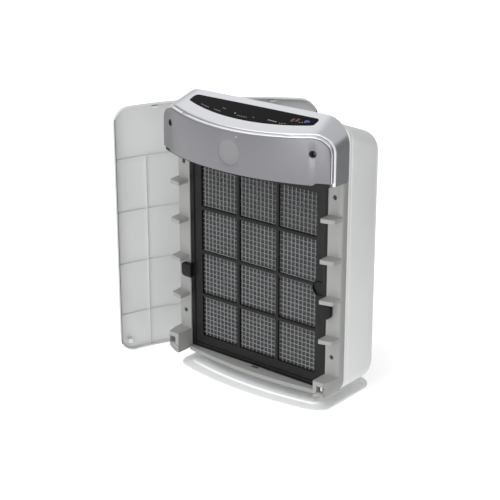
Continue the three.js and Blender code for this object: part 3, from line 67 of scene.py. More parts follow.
# %% [markdown]
# ## Where the viewer stands
#
# The camera stands to the right of the purifier, a little above it, and looks down on it. A long
# lens keeps the upright edges nearly parallel. It is placed before anything is made, because every
# later choice of detail depends on what shows from there.

# %% The camera
CAMERA_PLACE = (1.5534, -1.9088, 1.1880)
CAMERA_PITCH = 20.26  # degrees below the horizon
CAMERA_YAW = 39.45
CAMERA_LENS = 98.87  # millimetres, on a sensor 36 mm wide

camera = bpy.data.objects.new("camera", bpy.data.cameras.new("camera"))
camera.location = CAMERA_PLACE
camera.rotation_euler = (math.radians(90 - CAMERA_PITCH), 0, math.radians(CAMERA_YAW))
camera.data.lens = CAMERA_LENS
camera.data.clip_start = 0.05
bpy.context.scene.collection.objects.link(camera)
bpy.context.scene.camera = camera
print("camera", round((camera.location - (frame_low + frame_high) / 2).length, 2), "m away")


# %% [markdown]
# ## Helpers for materials
#
# Colours are picked as sRGB hex values, as a paint chart gives them, while Blender's shaders
# work in linear light, so one function turns them over. One more function adds a node with its
# settings and links. It serves the material trees and the geometry trees alike.

# %% Colours and nodes
def linear(hex_colour):
    """An sRGB hex value as linear red, green, blue and alpha."""
    shares = [int(hex_colour[i:i + 2], 16) / 255 for i in (0, 2, 4)]
    low = [share / 12.92 for share in shares]
    high = [((share + 0.055) / 1.055) ** 2.4 for share in shares]
    return [a if share <= 0.04045 else b for share, a, b in zip(shares, low, high)] + [1.0]


def add_node(tree, kind, settings=None, inputs=None):
    """Adds a node. A setting is a property, and an input is a value or the socket that feeds it."""
    node = tree.nodes.new(kind)
    for name, value in (settings or {}).items():
        setattr(node, name, value)
    for name, value in (inputs or {}).items():
        if isinstance(value, bpy.types.NodeSocket):
            tree.links.new(value, node.inputs[name])
        else:
            node.inputs[name].default_value = value
    return node


print("mid grey in linear light:", [round(share, 3) for share in linear("808080")[:3]])


# %% [markdown]
# ## Moulded plastics
#
# Almost everything that shows is injection-moulded ABS. It is dull or bright by the wall of the
# mould: spark-eroded walls leave a fine grain, and polished walls leave a gloss. Three things keep
# it from looking like a flat colour: the grain, a slow drift in tone from the flow of the plastic,
# and a slow drift in gloss from handling. The real grain is about 0.15 mm. It is drawn near 1 mm,
# which is as fine as the picture can show.

# %% The plastics
GRAIN = 1.1 * MM


def plastic(name, colour, roughness, grain=GRAIN, relief=0.03 * MM, drift=0.04, shine=0.5, flow=90 * MM):
    """A moulded plastic with mould grain, a drift in tone over its flow length, and handling marks."""
    material = bpy.data.materials.new(name)
    material.use_nodes = True
    tree = material.node_tree
    shader = tree.nodes["Principled BSDF"]
    place = add_node(tree, "ShaderNodeTexCoord").outputs["Object"]
    slow = add_node(tree, "ShaderNodeTexNoise", {}, {"Vector": place, "Scale": 1 / flow, "Detail": 2.0})
    fine = add_node(tree, "ShaderNodeTexNoise", {}, {"Vector": place, "Scale": 1 / grain, "Detail": 1.0})
    touch = add_node(tree, "ShaderNodeTexNoise", {}, {"Vector": place, "Scale": 4 / flow, "Detail": 5.0})
    base = linear(colour)
    dark = [share * (1 - drift) for share in base[:3]] + [1.0]
    light = [min(share * (1 + drift), 1.0) for share in base[:3]] + [1.0]
    tone = add_node(tree, "ShaderNodeMix", {"data_type": "RGBA"}, {0: slow.outputs["Fac"], 6: dark, 7: light})
    gloss = add_node(tree, "ShaderNodeMapRange", {}, {
        "Value": touch.outputs["Fac"], "From Min": 0.3, "From Max": 0.7,
        "To Min": roughness * 0.88, "To Max": min(roughness * 1.14, 1.0)})
    bump = add_node(tree, "ShaderNodeBump", {}, {
        "Height": fine.outputs["Fac"], "Strength": 0.6, "Distance": relief})
    tree.links.new(tone.outputs[2], shader.inputs["Base Color"])
    tree.links.new(gloss.outputs["Result"], shader.inputs["Roughness"])
    tree.links.new(bump.outputs["Normal"], shader.inputs["Normal"])
    shader.inputs["IOR"].default_value = 1.53  # ABS
    shader.inputs["Specular IOR Level"].default_value = shine
    return material


shell_white = plastic("ABS, white, satin mould", "d3d4d4", 0.36)
cover_white = plastic("ABS, white, matt inner wall", "cccdcd", 0.48, relief=0.045 * MM)
base_white = plastic("ABS, white, polished mould", "f3f4f5", 0.30, relief=0.015 * MM)
rail_grey = plastic("ABS, mid grey, matt mould", "8b8c8a", 0.52, relief=0.05 * MM)
frame_black = plastic("polypropylene, black, satin mould", "0d0d0e", 0.42, relief=0.05 * MM, drift=0.10,
                      shine=0.2)
fan_black = plastic("polypropylene, dark grey", "2b2d30", 0.48, relief=0.04 * MM, drift=0.08)
switch_black = plastic("nylon, black, matt mould", "101011", 0.55, drift=0.10)
plunger_white = plastic("acetal, natural white", "e6e6e0", 0.35)
print("plastics:", len(bpy.data.materials))


# %% [markdown]
# ## Silver paint
#
# The fascia, its lip and the top cap are the same plastic under silver paint. The paint holds fine
# aluminium flakes in a clear binder, so it is partly a metal and partly a satin lacquer. The flakes
# are about 0.03 mm and each tilts its own way. They are drawn near 0.8 mm, as a faint sparkle.

# %% The paints
def silver_paint(name, colour, roughness, metal, flake=0.8 * MM, coat=0.25):
    """A metallic paint: flakes that differ in tone, under a clear satin lacquer."""
    material = bpy.data.materials.new(name)
    material.use_nodes = True
    tree = material.node_tree
    shader = tree.nodes["Principled BSDF"]
    place = add_node(tree, "ShaderNodeTexCoord").outputs["Object"]
    flakes = add_node(tree, "ShaderNodeTexVoronoi", {"feature": "F1"}, {"Vector": place, "Scale": 1 / flake})
    cloud = add_node(tree, "ShaderNodeTexNoise", {}, {"Vector": place, "Scale": 1 / (60 * MM), "Detail": 3.0})
    base = linear(colour)
    dark = [share * 0.90 for share in base[:3]] + [1.0]
    light = [min(share * 1.10, 1.0) for share in base[:3]] + [1.0]
    speck = add_node(tree, "ShaderNodeMix", {"data_type": "RGBA"}, {
        0: flakes.outputs["Color"], 6: dark, 7: light})
    haze = add_node(tree, "ShaderNodeMix", {"data_type": "RGBA"}, {
        0: 0.75, 6: speck.outputs[2], 7: base})
    gloss = add_node(tree, "ShaderNodeMapRange", {}, {
        "Value": cloud.outputs["Fac"], "To Min": roughness * 0.85, "To Max": roughness * 1.15})
    bump = add_node(tree, "ShaderNodeBump", {}, {
        "Height": flakes.outputs["Distance"], "Strength": 0.25, "Distance": 0.01 * MM})
    tree.links.new(haze.outputs[2], shader.inputs["Base Color"])
    tree.links.new(gloss.outputs["Result"], shader.inputs["Roughness"])
    tree.links.new(bump.outputs["Normal"], shader.inputs["Normal"])
    shader.inputs["Metallic"].default_value = metal
    shader.inputs["Coat Weight"].default_value = coat
    shader.inputs["Coat Roughness"].default_value = 0.18
    return material


fascia_silver = silver_paint("silver paint, dark, on ABS", "6f6f73", 0.40, 0.45)
disc_silver = silver_paint("silver paint, dark, disc", "79787a", 0.50, 0.40)
cap_silver = silver_paint("silver paint, light, on ABS", "cbccd0", 0.30, 0.80)
lip_bright = silver_paint("silver plate, bright, on ABS", "d2d3d6", 0.24, 0.75)
print("paints:", fascia_silver.name, "and", cap_silver.name)


# %% [markdown]
# ## Helpers for shapes
#
# Every piece is shaped in millimetres, about the middle of the floor under the purifier. A loft
# skins a row of rings, a prism carries an outline along an axis, and booleans join or cut. Moulded
# edges are never sharp, so nearly every piece ends in a small bevel: light catches on it, and that
# line of light is what makes a plastic part look solid.

# %% Shapes
def build(name, points, faces, finish):
    """A piece at the origin, with its faces turned outwards."""
    mesh = bpy.data.meshes.new(name)
    mesh.from_pydata([Vector(point) * MM for point in points], [], faces)
    work = bmesh.new()
    work.from_mesh(mesh)
    bmesh.ops.remove_doubles(work, verts=work.verts, dist=0.002 * MM)
    bmesh.ops.recalc_face_normals(work, faces=work.faces)
    work.to_mesh(mesh)
    work.free()
    mesh.materials.append(finish)
    made = bpy.data.objects.new(name, mesh)
    bpy.context.scene.collection.objects.link(made)
    return made


def loft(name, rings, finish):
    """A closed skin through rings of equal count."""
    count = len(rings[0])
    faces = [(row * count + i, row * count + (i + 1) % count,
              (row + 1) * count + (i + 1) % count, (row + 1) * count + i)
             for row in range(len(rings) - 1) for i in range(count)]
    last = (len(rings) - 1) * count
    faces += [tuple(range(count))[::-1], tuple(range(last, last + count))]
    return build(name, [point for ring in rings for point in ring], faces, finish)


def prism(name, outline, low, high, along, finish):
    """An outline carried along Y (outline in X, Z) or along Z (outline in X, Y)."""
    place = {"y": lambda u, v, d: (u, d, v), "z": lambda u, v, d: (u, v, d)}[along]
    return loft(name, [[place(u, v, d) for u, v in outline] for d in (low, high)], finish)


def block(name, low, high, finish):
    """A rectangular block between two corners."""
    outline = [(low[0], low[1]), (high[0], low[1]), (high[0], high[1]), (low[0], high[1])]
    return prism(name, outline, low[2], high[2], "z", finish)


def round_bar(name, radius, low, high, u, v, along, finish, sides=64):
    """A round bar along Y or Z, centred on the other two places."""
    turns = [2 * math.pi * i / sides for i in range(sides)]
    outline = [(u + radius * math.cos(turn), v + radius * math.sin(turn)) for turn in turns]
    return prism(name, outline, low, high, along, finish)


def rounded(corners, steps=6):
    """An outline from corners given as (u, v, radius), each turned by a true arc."""
    outline = []
    for i, (u, v, radius) in enumerate(corners):
        here = Vector((u, v))
        back = (Vector(corners[i - 1][:2]) - here).normalized()
        ahead = (Vector(corners[(i + 1) % len(corners)][:2]) - here).normalized()
        if radius <= 0:
            outline.append((u, v))
            continue
        half = back.angle(ahead) / 2
        centre = here + (back + ahead).normalized() * (radius / math.sin(half))
        start = here + back * (radius / math.tan(half)) - centre
        end = here + ahead * (radius / math.tan(half)) - centre
        for step in range(steps + 1):
            share = step / steps
            turn = start.angle_signed(end)
            arm = start.copy()
            arm.rotate(Matrix.Rotation(-turn * share, 2))
            outline.append(tuple(centre + arm))
    return outline


def settle(made):
    """Turns what the modifiers give into the piece's own mesh."""
    graph = bpy.context.evaluated_depsgraph_get()
    mesh = bpy.data.meshes.new_from_object(made.evaluated_get(graph))
    made.modifiers.clear()
    made.data = mesh


def combine(made, others, operation="DIFFERENCE", thorough=False):
    """Cuts, joins or trims a piece with others, which are used up; thorough keeps a busy piece closed."""
    for other in others:
        step = made.modifiers.new("with " + other.name, "BOOLEAN")
        step.operation = operation
        step.object = other
        step.solver = "EXACT"
        step.use_self = thorough
    settle(made)
    for other in others:
        bpy.data.objects.remove(other)
    return made


def soften(made, width, segments=3, angle=34):
    """Rounds the moulded edges, then shades smoothly between them."""
    if width:
        bevel = made.modifiers.new("moulded edges", "BEVEL")
        bevel.width = width * MM
        bevel.segments = segments
        bevel.limit_method = "ANGLE"
        bevel.angle_limit = math.radians(angle)
        bevel.use_clamp_overlap = False
        bevel.miter_outer = "MITER_ARC"
        settle(made)
    made.data.shade_smooth()
    made.data.set_sharp_from_angle(angle=math.radians(angle))
    return made


def wear(made, body, *nodes):
    """Fastens a finished piece to its body, in place of the model's nodes."""
    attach(made, body)
    if nodes:
        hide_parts(*nodes)
    triangles = sum(len(face.vertices) - 2 for face in made.data.polygons)
    print(made.name, "for", ", ".join(nodes) or "detail", "-", triangles, "triangles")


print("corner arc:", len(rounded([(0, 0, 1), (9, 0, 1), (9, 9, 1), (0, 9, 1)])), "points")


# %% [markdown]
# ## The bow and the brow
#
# Two curves set the purifier's face. In plan the front is one arc of 441 mm radius. From the front,
# the brow is an arch that falls in wide round corners, tighter at the fascia and wider at the ridge,
# and its surface is ruled straight between the two. Fascia, lip, cap and panel all lie on this one
# surface, so its formulas stand here once.

# %% The common surfaces
HALF = 200
BOW_RADIUS, BOW_APEX = 441, -88
BOW_CENTRE = BOW_APEX + BOW_RADIUS
PARTING, BACK = 14, 130
UNDERSIDE, RIDGE = 30, 568
RIDGE_PLACE = 13.7
BROW_CORNER, RIDGE_CORNER = 36, 50
BROW_TOP, BROW_RISE = 535, 0.24
FASCIA_FOOT, CAP_FOOT = 455, 452.5


def bow(x, offset):
    """Depth of the bowed front at x, moved back by an offset."""
    return BOW_CENTRE - math.sqrt((BOW_RADIUS - offset) ** 2 - x * x)


def fall(x, radius, inset):
    """How far a round upper corner has fallen at x."""
    past = abs(x) - (HALF - radius)
    reach = radius - inset
    return 0.0 if past <= 0 else reach - math.sqrt(max(reach ** 2 - past ** 2, 0.0))


def brow(x, y, inset=0.0):
    """Height of the brow, from the fascia's edge back to the ridge."""
    front = bow(x, 0)
    low = BROW_TOP + BROW_RISE * (front - BOW_APEX) - fall(x, BROW_CORNER, inset)
    high = RIDGE - fall(x, RIDGE_CORNER, inset)
    return low + (y - front) / (RIDGE_PLACE - front) * (high - low) - inset


def across(inset, middle=72, corner=20):
    """Stations across the width, close together where the corners turn."""
    flat, reach = HALF - RIDGE_CORNER, RIDGE_CORNER - inset
    turn = [flat + reach * math.sin(math.pi / 2 * i / corner) for i in range(1, corner + 1)]
    return [-x for x in turn[::-1]] + [-flat + 2 * flat * i / middle for i in range(middle + 1)] + turn


def arch(inset, depth, foot):
    """A line along the brow from foot to foot; depth is a function of x."""
    line = [(x, depth(x), brow(x, depth(x), inset)) for x in across(inset)]
    first, last = line[0], line[-1]
    return [(first[0], first[1], foot)] + line + [(last[0], last[1], foot)]


def arch_sweep(name, section, foot, finish):
    """A closed skin whose section, pairs of depth function and inset, follows the brow."""
    lines = [arch(inset, depth, foot) for depth, inset in section]
    return loft(name, [[line[i] for line in lines] for i in range(len(lines[0]))], finish)


print("ends of the bow lie", round(bow(HALF, 0) - BOW_APEX, 1), "mm behind its middle")


# %% [markdown]
# ## Base
#
# The purifier stands on a low plate wider than a tray. Its plan is a rectangle with round corners,
# and its front edge bows out a little. The rim slopes gently down to a rolled edge, and the middle is
# raised by 2.5 mm. It is shaped as a stack of outlines, each inset from the one below. Corner arcs
# and bow keep their centres at any inset, so the rim's width stays even all round.

# %% The base and its neck
BASE_HALF, BASE_FRONT, BASE_BACK = 182, -57, 145
BASE_BOW, BASE_CORNER = 700, 36
BASE_LAYERS = [(2.5, 0.0), (0.9, 0.3), (0.2, 1.0), (0.0, 2.0), (0.0, 3.4), (0.3, 4.4), (1.1, 5.2),
               (2.4, 5.7), (5.0, 6.0), (20.0, 7.0), (22.0, 7.1), (23.2, 7.5), (24.2, 8.4),
               (25.2, 9.1), (26.6, 9.45), (28.0, 9.5)]


def base_outline(inset, z, steps=20):
    """The base's plan at an inset, as a ring at a height."""
    side, radius = BASE_HALF - BASE_CORNER, BASE_CORNER - inset
    bow_centre = BASE_FRONT + BASE_BOW
    front_y = bow_centre - math.sqrt((BASE_BOW - BASE_CORNER) ** 2 - side ** 2)
    lean = math.atan2(front_y - bow_centre, side)
    right = [(side + radius * math.cos(turn), front_y + radius * math.sin(turn))
             for turn in [lean * (1 - i / steps) for i in range(steps + 1)]]
    back = [(side + radius * math.cos(turn), BASE_BACK - BASE_CORNER + radius * math.sin(turn))
            for turn in [math.pi / 2 * i / steps for i in range(steps + 1)]]
    sweep = [math.pi * 1.5 + (lean + math.pi / 2) * i / (2 * steps) for i in range(2 * steps)]
    middle = [((BASE_BOW - inset) * math.cos(turn), bow_centre + (BASE_BOW - inset) * math.sin(turn))
              for turn in sweep]
    half = middle + right + back
    return [(x, y, z) for x, y in half] + [(-x, y, z) for x, y in half[::-1][:-1]]


base = loft("base", [base_outline(inset, z) for inset, z in BASE_LAYERS], base_white)
FOOT_PLACES = [(x, y) for x in (-146, 146) for y in (-7, 109)]
combine(base, [round_bar("pocket", 11.3, -1, 3.3, x, y, "z", base_white) for x, y in FOOT_PLACES])
wear(soften(base, 0), "root", "base_plate")

NECK_LAYERS = [(0, 9.8), (3.0, 11.0), (5.5, 13.5), (7.0, 17.0), (7.0, 23.0), (5.0, 27.0), (2.0, 29.7)]
NECK_HALF, NECK_DEEP, NECK_MIDDLE = 105, 38, 58
neck_turns = [math.pi * i / 48 for i in range(96)]
neck_rings = [[((NECK_HALF - inset) * math.cos(turn),
                NECK_MIDDLE + (NECK_DEEP - inset) * math.sin(turn), z) for turn in neck_turns]
              for inset, z in NECK_LAYERS]
neck = loft("neck", neck_rings, base_white)
wear(soften(neck, 0), "root", "base_neck")


# %% [markdown]
# ## Rear shell
#
# One deep moulding makes the sides, the back, the underside and the sloping top. It is open at the
# front, where a rounded bead stiffens its edge; a narrow groove behind the bead hides the sink that
# a thick edge leaves. The upright corners turn on 36 mm, the lower back edge on 40 mm. It is lofted
# from rings that start at the bead, and the inside is the same form made smaller by the wall.

# %% The rear shell
WALL = 2.6
SIDE_TURN, UNDER_TURN, LOW_CORNER, TOP_CORNER = 36, 40, 32, 30
SHELL_TOP, SHELL_FALL, SHELL_BEND, SHELL_BACK_TOP = 557, 0.37, 96, 485
BEAD = [(14.0, 1.9), (14.2, 1.1), (14.8, 0.5), (15.8, 0.1), (17.0, 0.0), (19.4, 0.0), (20.4, 0.15),
        (21.2, 0.55), (21.8, 1.0), (22.6, 1.0), (23.2, 0.55), (23.8, 0.15), (24.6, 0.0)]


def shell_top(y):
    """Height of the shell's top: a slope that rolls over into the back."""
    slope = SHELL_TOP - SHELL_FALL * (min(y, SHELL_BEND) - PARTING)
    if y <= SHELL_BEND:
        return slope
    run = BACK - SHELL_BEND
    turn = min((y - SHELL_BEND) / run, 1.0)
    rest = slope - SHELL_BACK_TOP - SHELL_FALL * run
    return slope - SHELL_FALL * run * turn - rest * (1 - math.sqrt(1 - turn ** 2))


def shell_ring(y, depth, inset, steps=14):
    """The shell's outline at a depth, drawn in by an inset."""
    side = SIDE_TURN - math.sqrt(max(SIDE_TURN ** 2 - max(y - (BACK - SIDE_TURN), 0) ** 2, 0))
    under = UNDER_TURN - math.sqrt(max(UNDER_TURN ** 2 - max(y - (BACK - UNDER_TURN), 0) ** 2, 0))
    half, low, high = HALF - inset - side, UNDERSIDE + inset + under, shell_top(y) - inset
    lower, upper = LOW_CORNER - inset, TOP_CORNER - inset
    corners = [(half - lower, low + lower, lower, 3), (half - upper, high - upper, upper, 0),
               (upper - half, high - upper, upper, 1), (lower - half, low + lower, lower, 2)]
    return [(x + radius * math.cos(turn), depth, z + radius * math.sin(turn))
            for x, z, radius, quarter in corners
            for turn in [math.pi / 2 * (quarter + i / steps) for i in range(steps + 1)]]


def shell_form(inset, front):
    """Rings from the front edge back to the flat of the back."""
    turn_start = BACK - UNDER_TURN
    rings = [shell_ring(y, y, inset + draw) for y, draw in front]
    rings += [shell_ring(y, y, inset) for y in (34, 52, 70)]
    for i in range(25):
        share = math.sin(math.pi / 2 * i / 24)
        y = turn_start + UNDER_TURN * share
        rings.append(shell_ring(y, turn_start + (UNDER_TURN - inset) * share, inset))
    return rings


WELLS = [(x, z) for x in (-155.5, 155.5) for z in (102, 417)]
GRILLE_MIDDLE = (PARTING + SHELL_BEND) / 2 + 10
SLOPE = math.atan(SHELL_FALL)


def lay_on_slope(made):
    """Turns a piece made flat about the origin onto the shell's sloping top."""
    turn = Matrix.Rotation(-SLOPE, 4, "X")
    place = Matrix.Translation(
        Vector((0, GRILLE_MIDDLE, shell_top(GRILLE_MIDDLE))) * MM)
    made.data.transform(place @ turn)
    return made


shell = loft("shell", shell_form(0, BEAD), shell_white)
combine(shell, [loft("inside", shell_form(WALL, [(13.0, 0.0), (24.6, 0.0)]), shell_white)])
combine(shell, [round_bar("well", 7.5, 121, 128, x, z, "y", shell_white) for x, z in WELLS], "UNION")
opening_plan = rounded([(-140.3, -25.3, 3), (140.3, -25.3, 3), (140.3, 25.3, 3), (-140.3, 25.3, 3)])
opening = lay_on_slope(prism("opening", opening_plan, -8, 8, "z", shell_white))
holes = [round_bar("head", 4.5, 123.6, 131, x, z, "y", shell_white) for x, z in WELLS]
holes += [round_bar("shank", 2.3, 120, 131, x, z, "y", shell_white, 24) for x, z in WELLS]
holes.append(round_bar("gland hole", 8.3, 120, 135, -128, 105, "y", shell_white))
combine(shell, [opening] + holes)
wear(soften(shell, 0, angle=40), "root", "rear_shell")


# %% [markdown]
# ## Fascia
#
# The fascia is a flat-looking band bent to the bow and sprayed dark silver. Its top edge follows the
# brow, its lower edge is raised by 5 mm at both ends to clear the rails, and its face has a shallow
# round recess where a badge could sit. The recess is cut with a slice of the same bent band, so its
# floor stays parallel with the face.

# %% The fascia and its light guide
FASCIA_INSET, FASCIA_WALL = 1.5, 3.0
END_START, END_RISE = 172, 5.0
SCREW_PLACE_X, SCREW_PLACE_Z = 169, 513


def fascia_foot(x):
    """The lower edge, eased up at the ends."""
    share = min(max((abs(x) - END_START + 2) / 4, 0.0), 1.0)
    return FASCIA_FOOT + END_RISE * share ** 2 * (3 - 2 * share)


def bent_band(name, front, back, roll, finish):
    """A band behind the bow with its top and bottom edges rolled by a small radius."""
    rings = []
    for x in across(FASCIA_INSET):
        low, high = fascia_foot(x), brow(x, bow(x, 0), FASCIA_INSET)
        section = rounded([(front, low, roll), (front, high, roll),
                           (back, high, roll / 2), (back, low, roll / 2)], 4)
        rings.append([(x, bow(x, offset), z) for offset, z in section])
    return loft(name, rings, finish)


fascia = bent_band("fascia", 0, FASCIA_WALL, 1.1, fascia_silver)
recess = bent_band("recess", -2, 0.6, 0.1, fascia_silver)
combine(recess, [round_bar("disc", 23.5, -120, -60, 4, 494, "y", fascia_silver, 128)], "INTERSECT")
cutters = [recess, round_bar("indicator hole", 2.3, -95, -82, 22, 525, "y", fascia_silver, 32)]
cutters += [round_bar("screw well", 6.5, -90, 20, side * SCREW_PLACE_X, SCREW_PLACE_Z, "y", fascia_silver, 64)
            for side in (-1, 1)]
combine(fascia, cutters)
soften(fascia, 0.35, 2)
fascia.data.materials.append(disc_silver)
for face in fascia.data.polygons:
    x, y, z = face.center / MM
    if math.hypot(x - 4, z - 494) < 23.4 and bow(x, 0) + 0.3 < y < bow(x, 1):
        face.material_index = 1
wear(fascia, "root", "fascia_plate")


# %% [markdown]
# ## Lip and top cap
#
# Behind the fascia runs a narrow bright-plated lip, then a shadow groove, then the light silver cap.
# The lip and the cap's roof are one section each, carried along the brow. The lip's section is rolled
# on top, so it takes a thin line of light from corner to corner. Two notches in it take the cover's
# clips.

# %% The lip
LIP_FRONT, LIP_BACK, CAP_FRONT = 3.3, 9.0, 11.5
LIP_INSET, LIP_WALL = 1.0, 2.6


def behind(offset):
    """The depth function of a line that stays an offset behind the bow."""
    return lambda x: bow(x, offset)


lip_section = rounded([(LIP_FRONT, LIP_INSET, 1.2), (LIP_BACK, LIP_INSET, 1.2),
                       (LIP_BACK, LIP_INSET + LIP_WALL, 0.3), (LIP_FRONT, LIP_INSET + LIP_WALL, 0.3)], 5)
lip = arch_sweep("lip", [(behind(offset), inset) for offset, inset in lip_section], FASCIA_FOOT + END_RISE,
                 lip_bright)
notches = []
for side in (-1, 1):
    top = brow(side * 120, bow(side * 120, LIP_BACK), LIP_INSET)
    notches.append(block("notch", (side * 120 - 9, bow(120, 0) - 10, top - 1.6),
                         (side * 120 + 9, bow(120, 0) + 20, top + 20), lip_bright))
combine(lip, notches)
wear(soften(lip, 0), "root", "trim_lip")

# %% [markdown]
# The cap's roof is 2.5 mm thick. It steps down in front to pass under the lip, and a plain wall
# closes it behind the fascia. The step is what makes the dark groove behind the lip.

# %% The cap
CAP_WALL = 2.5
CORE_INSET = LIP_INSET + LIP_WALL + 0.3
OVERLAY_HALF, OVERLAY_SETBACK, OVERLAY_BACK = 147, 37, -3


def toward_ridge(share):
    """The depth function of a line part of the way from the cap's front edge to the ridge."""
    return lambda x: bow(x, CAP_FRONT) + share * (RIDGE_PLACE - bow(x, CAP_FRONT))


roll = [(CAP_FRONT + 1.8 * (1 - math.sin(math.pi / 2 * i / 5)), 1.8 * (1 - math.cos(math.pi / 2 * i / 5)))
        for i in range(6)]
section = [(toward_ridge(share / 10), 0.0) for share in range(10, 1, -1)]
section += [(behind(offset), inset) for offset, inset in roll]
section += [(behind(CAP_FRONT), CORE_INSET), (behind(LIP_FRONT), CORE_INSET),
            (behind(LIP_FRONT), CORE_INSET + CAP_WALL), (behind(CAP_FRONT + CAP_WALL), CORE_INSET + CAP_WALL),
            (behind(CAP_FRONT + CAP_WALL), CAP_WALL + 1)]
section += [(toward_ridge(share / 10), CAP_WALL + 1) for share in range(2, 11)]
cap = arch_sweep("cap", section, CAP_FOOT, cap_silver)


def under_brow(name, inset, front, back, foot, finish):
    """A solid under the brow between two depth functions."""
    return loft(name, [[(x, front(x), foot), (x, front(x), brow(x, front(x), inset)),
                        (x, back(x), brow(x, back(x), inset)), (x, back(x), foot)]
                       for x in across(inset)], finish)


SEAT = bow(SCREW_PLACE_X + 7.2, LIP_FRONT)
front_wall = under_brow("front wall", CORE_INSET + 0.4, behind(LIP_FRONT), behind(LIP_FRONT + CAP_WALL),
                        CAP_FOOT, cap_silver)
bosses = [round_bar("boss", 7.2, SEAT, SEAT + 12, side * SCREW_PLACE_X, SCREW_PLACE_Z, "y", cap_silver)
          for side in (-1, 1)]
combine(cap, [front_wall] + bosses, "UNION")


def overlay_outline(margin):
    """The panel's plan: bowed front, straight back, round corners."""
    half, back_y = OVERLAY_HALF + margin, OVERLAY_BACK + margin
    front = [(-half + 2 * half * i / 80, bow(-half + 2 * half * i / 80, OVERLAY_SETBACK - margin))
             for i in range(81)]
    corners = [(x, y, 0) for x, y in front[1:-1]]
    ends = [(front[-1][0], front[-1][1], 6), (half, back_y, 8),
            (-half, back_y, 8), (front[0][0], front[0][1], 6)]
    near = [corner for corner in corners if abs(corner[0]) < half - 8]
    return rounded(near + ends, 8)


def overlay_slab(name, margin, under, over, finish):
    """The panel's plan, kept to a layer that follows the brow."""
    half = OVERLAY_HALF + margin + 4
    stations = [-half + 2 * half * i / 90 for i in range(91)]
    layer = loft(name, [[(x, bow(x, 14), brow(x, bow(x, 14)) - under),
                         (x, bow(x, 14), brow(x, bow(x, 14)) + over),
                         (x, 8, brow(x, 8) + over), (x, 8, brow(x, 8) - under)] for x in stations], finish)
    return combine(layer, [prism("plan", overlay_outline(margin), 480, 600, "z", finish)], "INTERSECT")


cutters = [overlay_slab("overlay seat", 0.3, 1.1, 1, cap_silver)]
for side in (-1, 1):
    cutters.append(round_bar("counterbore", 4.5, -95, SEAT, side * SCREW_PLACE_X, SCREW_PLACE_Z, "y",
                             cap_silver))
    cutters.append(round_bar("screw hole", 2.3, -95, SEAT + 13, side * SCREW_PLACE_X, SCREW_PLACE_Z, "y",
                             cap_silver, 24))
combine(cap, cutters)
soften(cap, 0)
# The cap's front wall under the lip and a ring round each screw hole take the black: painted shade on the
# wall seen below the fascia's raised ends and in the screw holes.
cap.data.materials.append(frame_black)
for face in cap.data.polygons:
    x, y, z = face.center / MM
    behind_bow = BOW_RADIUS - math.hypot(x, y - BOW_CENTRE)
    if behind_bow < LIP_FRONT + CAP_WALL + 1 or math.hypot(abs(x) - SCREW_PLACE_X, z - SCREW_PLACE_Z) < 7.5:
        face.material_index = 1
wear(cap, "root", "top_cap")


# %% [markdown]
# ## Control panel
#
# The panel is a sheet of black acrylic let into the cap, printed on its underside and lit from
# below. Its gloss is the darkest and sharpest surface on the object. The print is tiny: a few pale
# dashes and dots beside the keys, a dim red display and one blue light at the right. They are made as
# plain marks that say nothing.

# %% The panel
def lacquer(name, colour, roughness, ior=1.49, shine=0.03):
    """A hard clear-topped black: a dark body under a bright, slightly uneven gloss."""
    material = bpy.data.materials.new(name)
    material.use_nodes = True
    tree = material.node_tree
    shader = tree.nodes["Principled BSDF"]
    place = add_node(tree, "ShaderNodeTexCoord").outputs["Object"]
    dust = add_node(tree, "ShaderNodeTexNoise", {}, {"Vector": place, "Scale": 1 / (22 * MM), "Detail": 6.0})
    gloss = add_node(tree, "ShaderNodeMapRange", {}, {
        "Value": dust.outputs["Fac"], "From Min": 0.35, "From Max": 0.7,
        "To Min": roughness, "To Max": roughness * 1.9})
    tree.links.new(gloss.outputs["Result"], shader.inputs["Roughness"])
    shader.inputs["Base Color"].default_value = linear(colour)
    shader.inputs["IOR"].default_value = ior
    shader.inputs["Specular IOR Level"].default_value = shine
    return material


def glowing(name, colour, strength):
    """Ink or a lens that is lit from behind."""
    material = bpy.data.materials.new(name)
    material.use_nodes = True
    shader = material.node_tree.nodes["Principled BSDF"]
    shader.inputs["Base Color"].default_value = linear(colour)
    shader.inputs["Emission Color"].default_value = linear(colour)
    shader.inputs["Emission Strength"].default_value = strength
    shader.inputs["Roughness"].default_value = 0.4
    return material


panel_black = lacquer("acrylic sheet, black", "030303", 0.10)
ink_white = glowing("panel ink, lit white", "8d9094", 0.05)
ink_red = glowing("display, dim red", "3d0d10", 0.25)
ink_blue = glowing("light, blue", "1f4488", 0.3)

wear(soften(overlay_slab("panel", 0.0, 0.8, 0.0, panel_black), 0), "root", "control_overlay")


def panel_mark(x, setback, length, width, finish, row):
    """A flat mark on the panel, laid square on the brow; the row it joins collects its faces."""
    y = bow(x, setback)
    corners = [(x - length / 2, y - width / 2), (x + length / 2, y - width / 2),
               (x + length / 2, y + width / 2), (x - length / 2, y + width / 2)]
    rings = [[(u, v, brow(u, v) + lift) for u, v in corners] for lift in (-0.1, 0.05)]
    row.append(loft("mark", rings, finish))


def gather(name, pieces):
    """Joins separate pieces into one mesh."""
    work = bmesh.new()
    for piece in pieces:
        work.from_mesh(piece.data)
    for face in work.faces:
        face.material_index = 0
    mesh = bpy.data.meshes.new(name)
    work.to_mesh(mesh)
    work.free()
    mesh.materials.append(pieces[0].data.materials[0])
    for piece in pieces:
        bpy.data.objects.remove(piece)
    made = bpy.data.objects.new(name, mesh)
    bpy.context.scene.collection.objects.link(made)
    return made


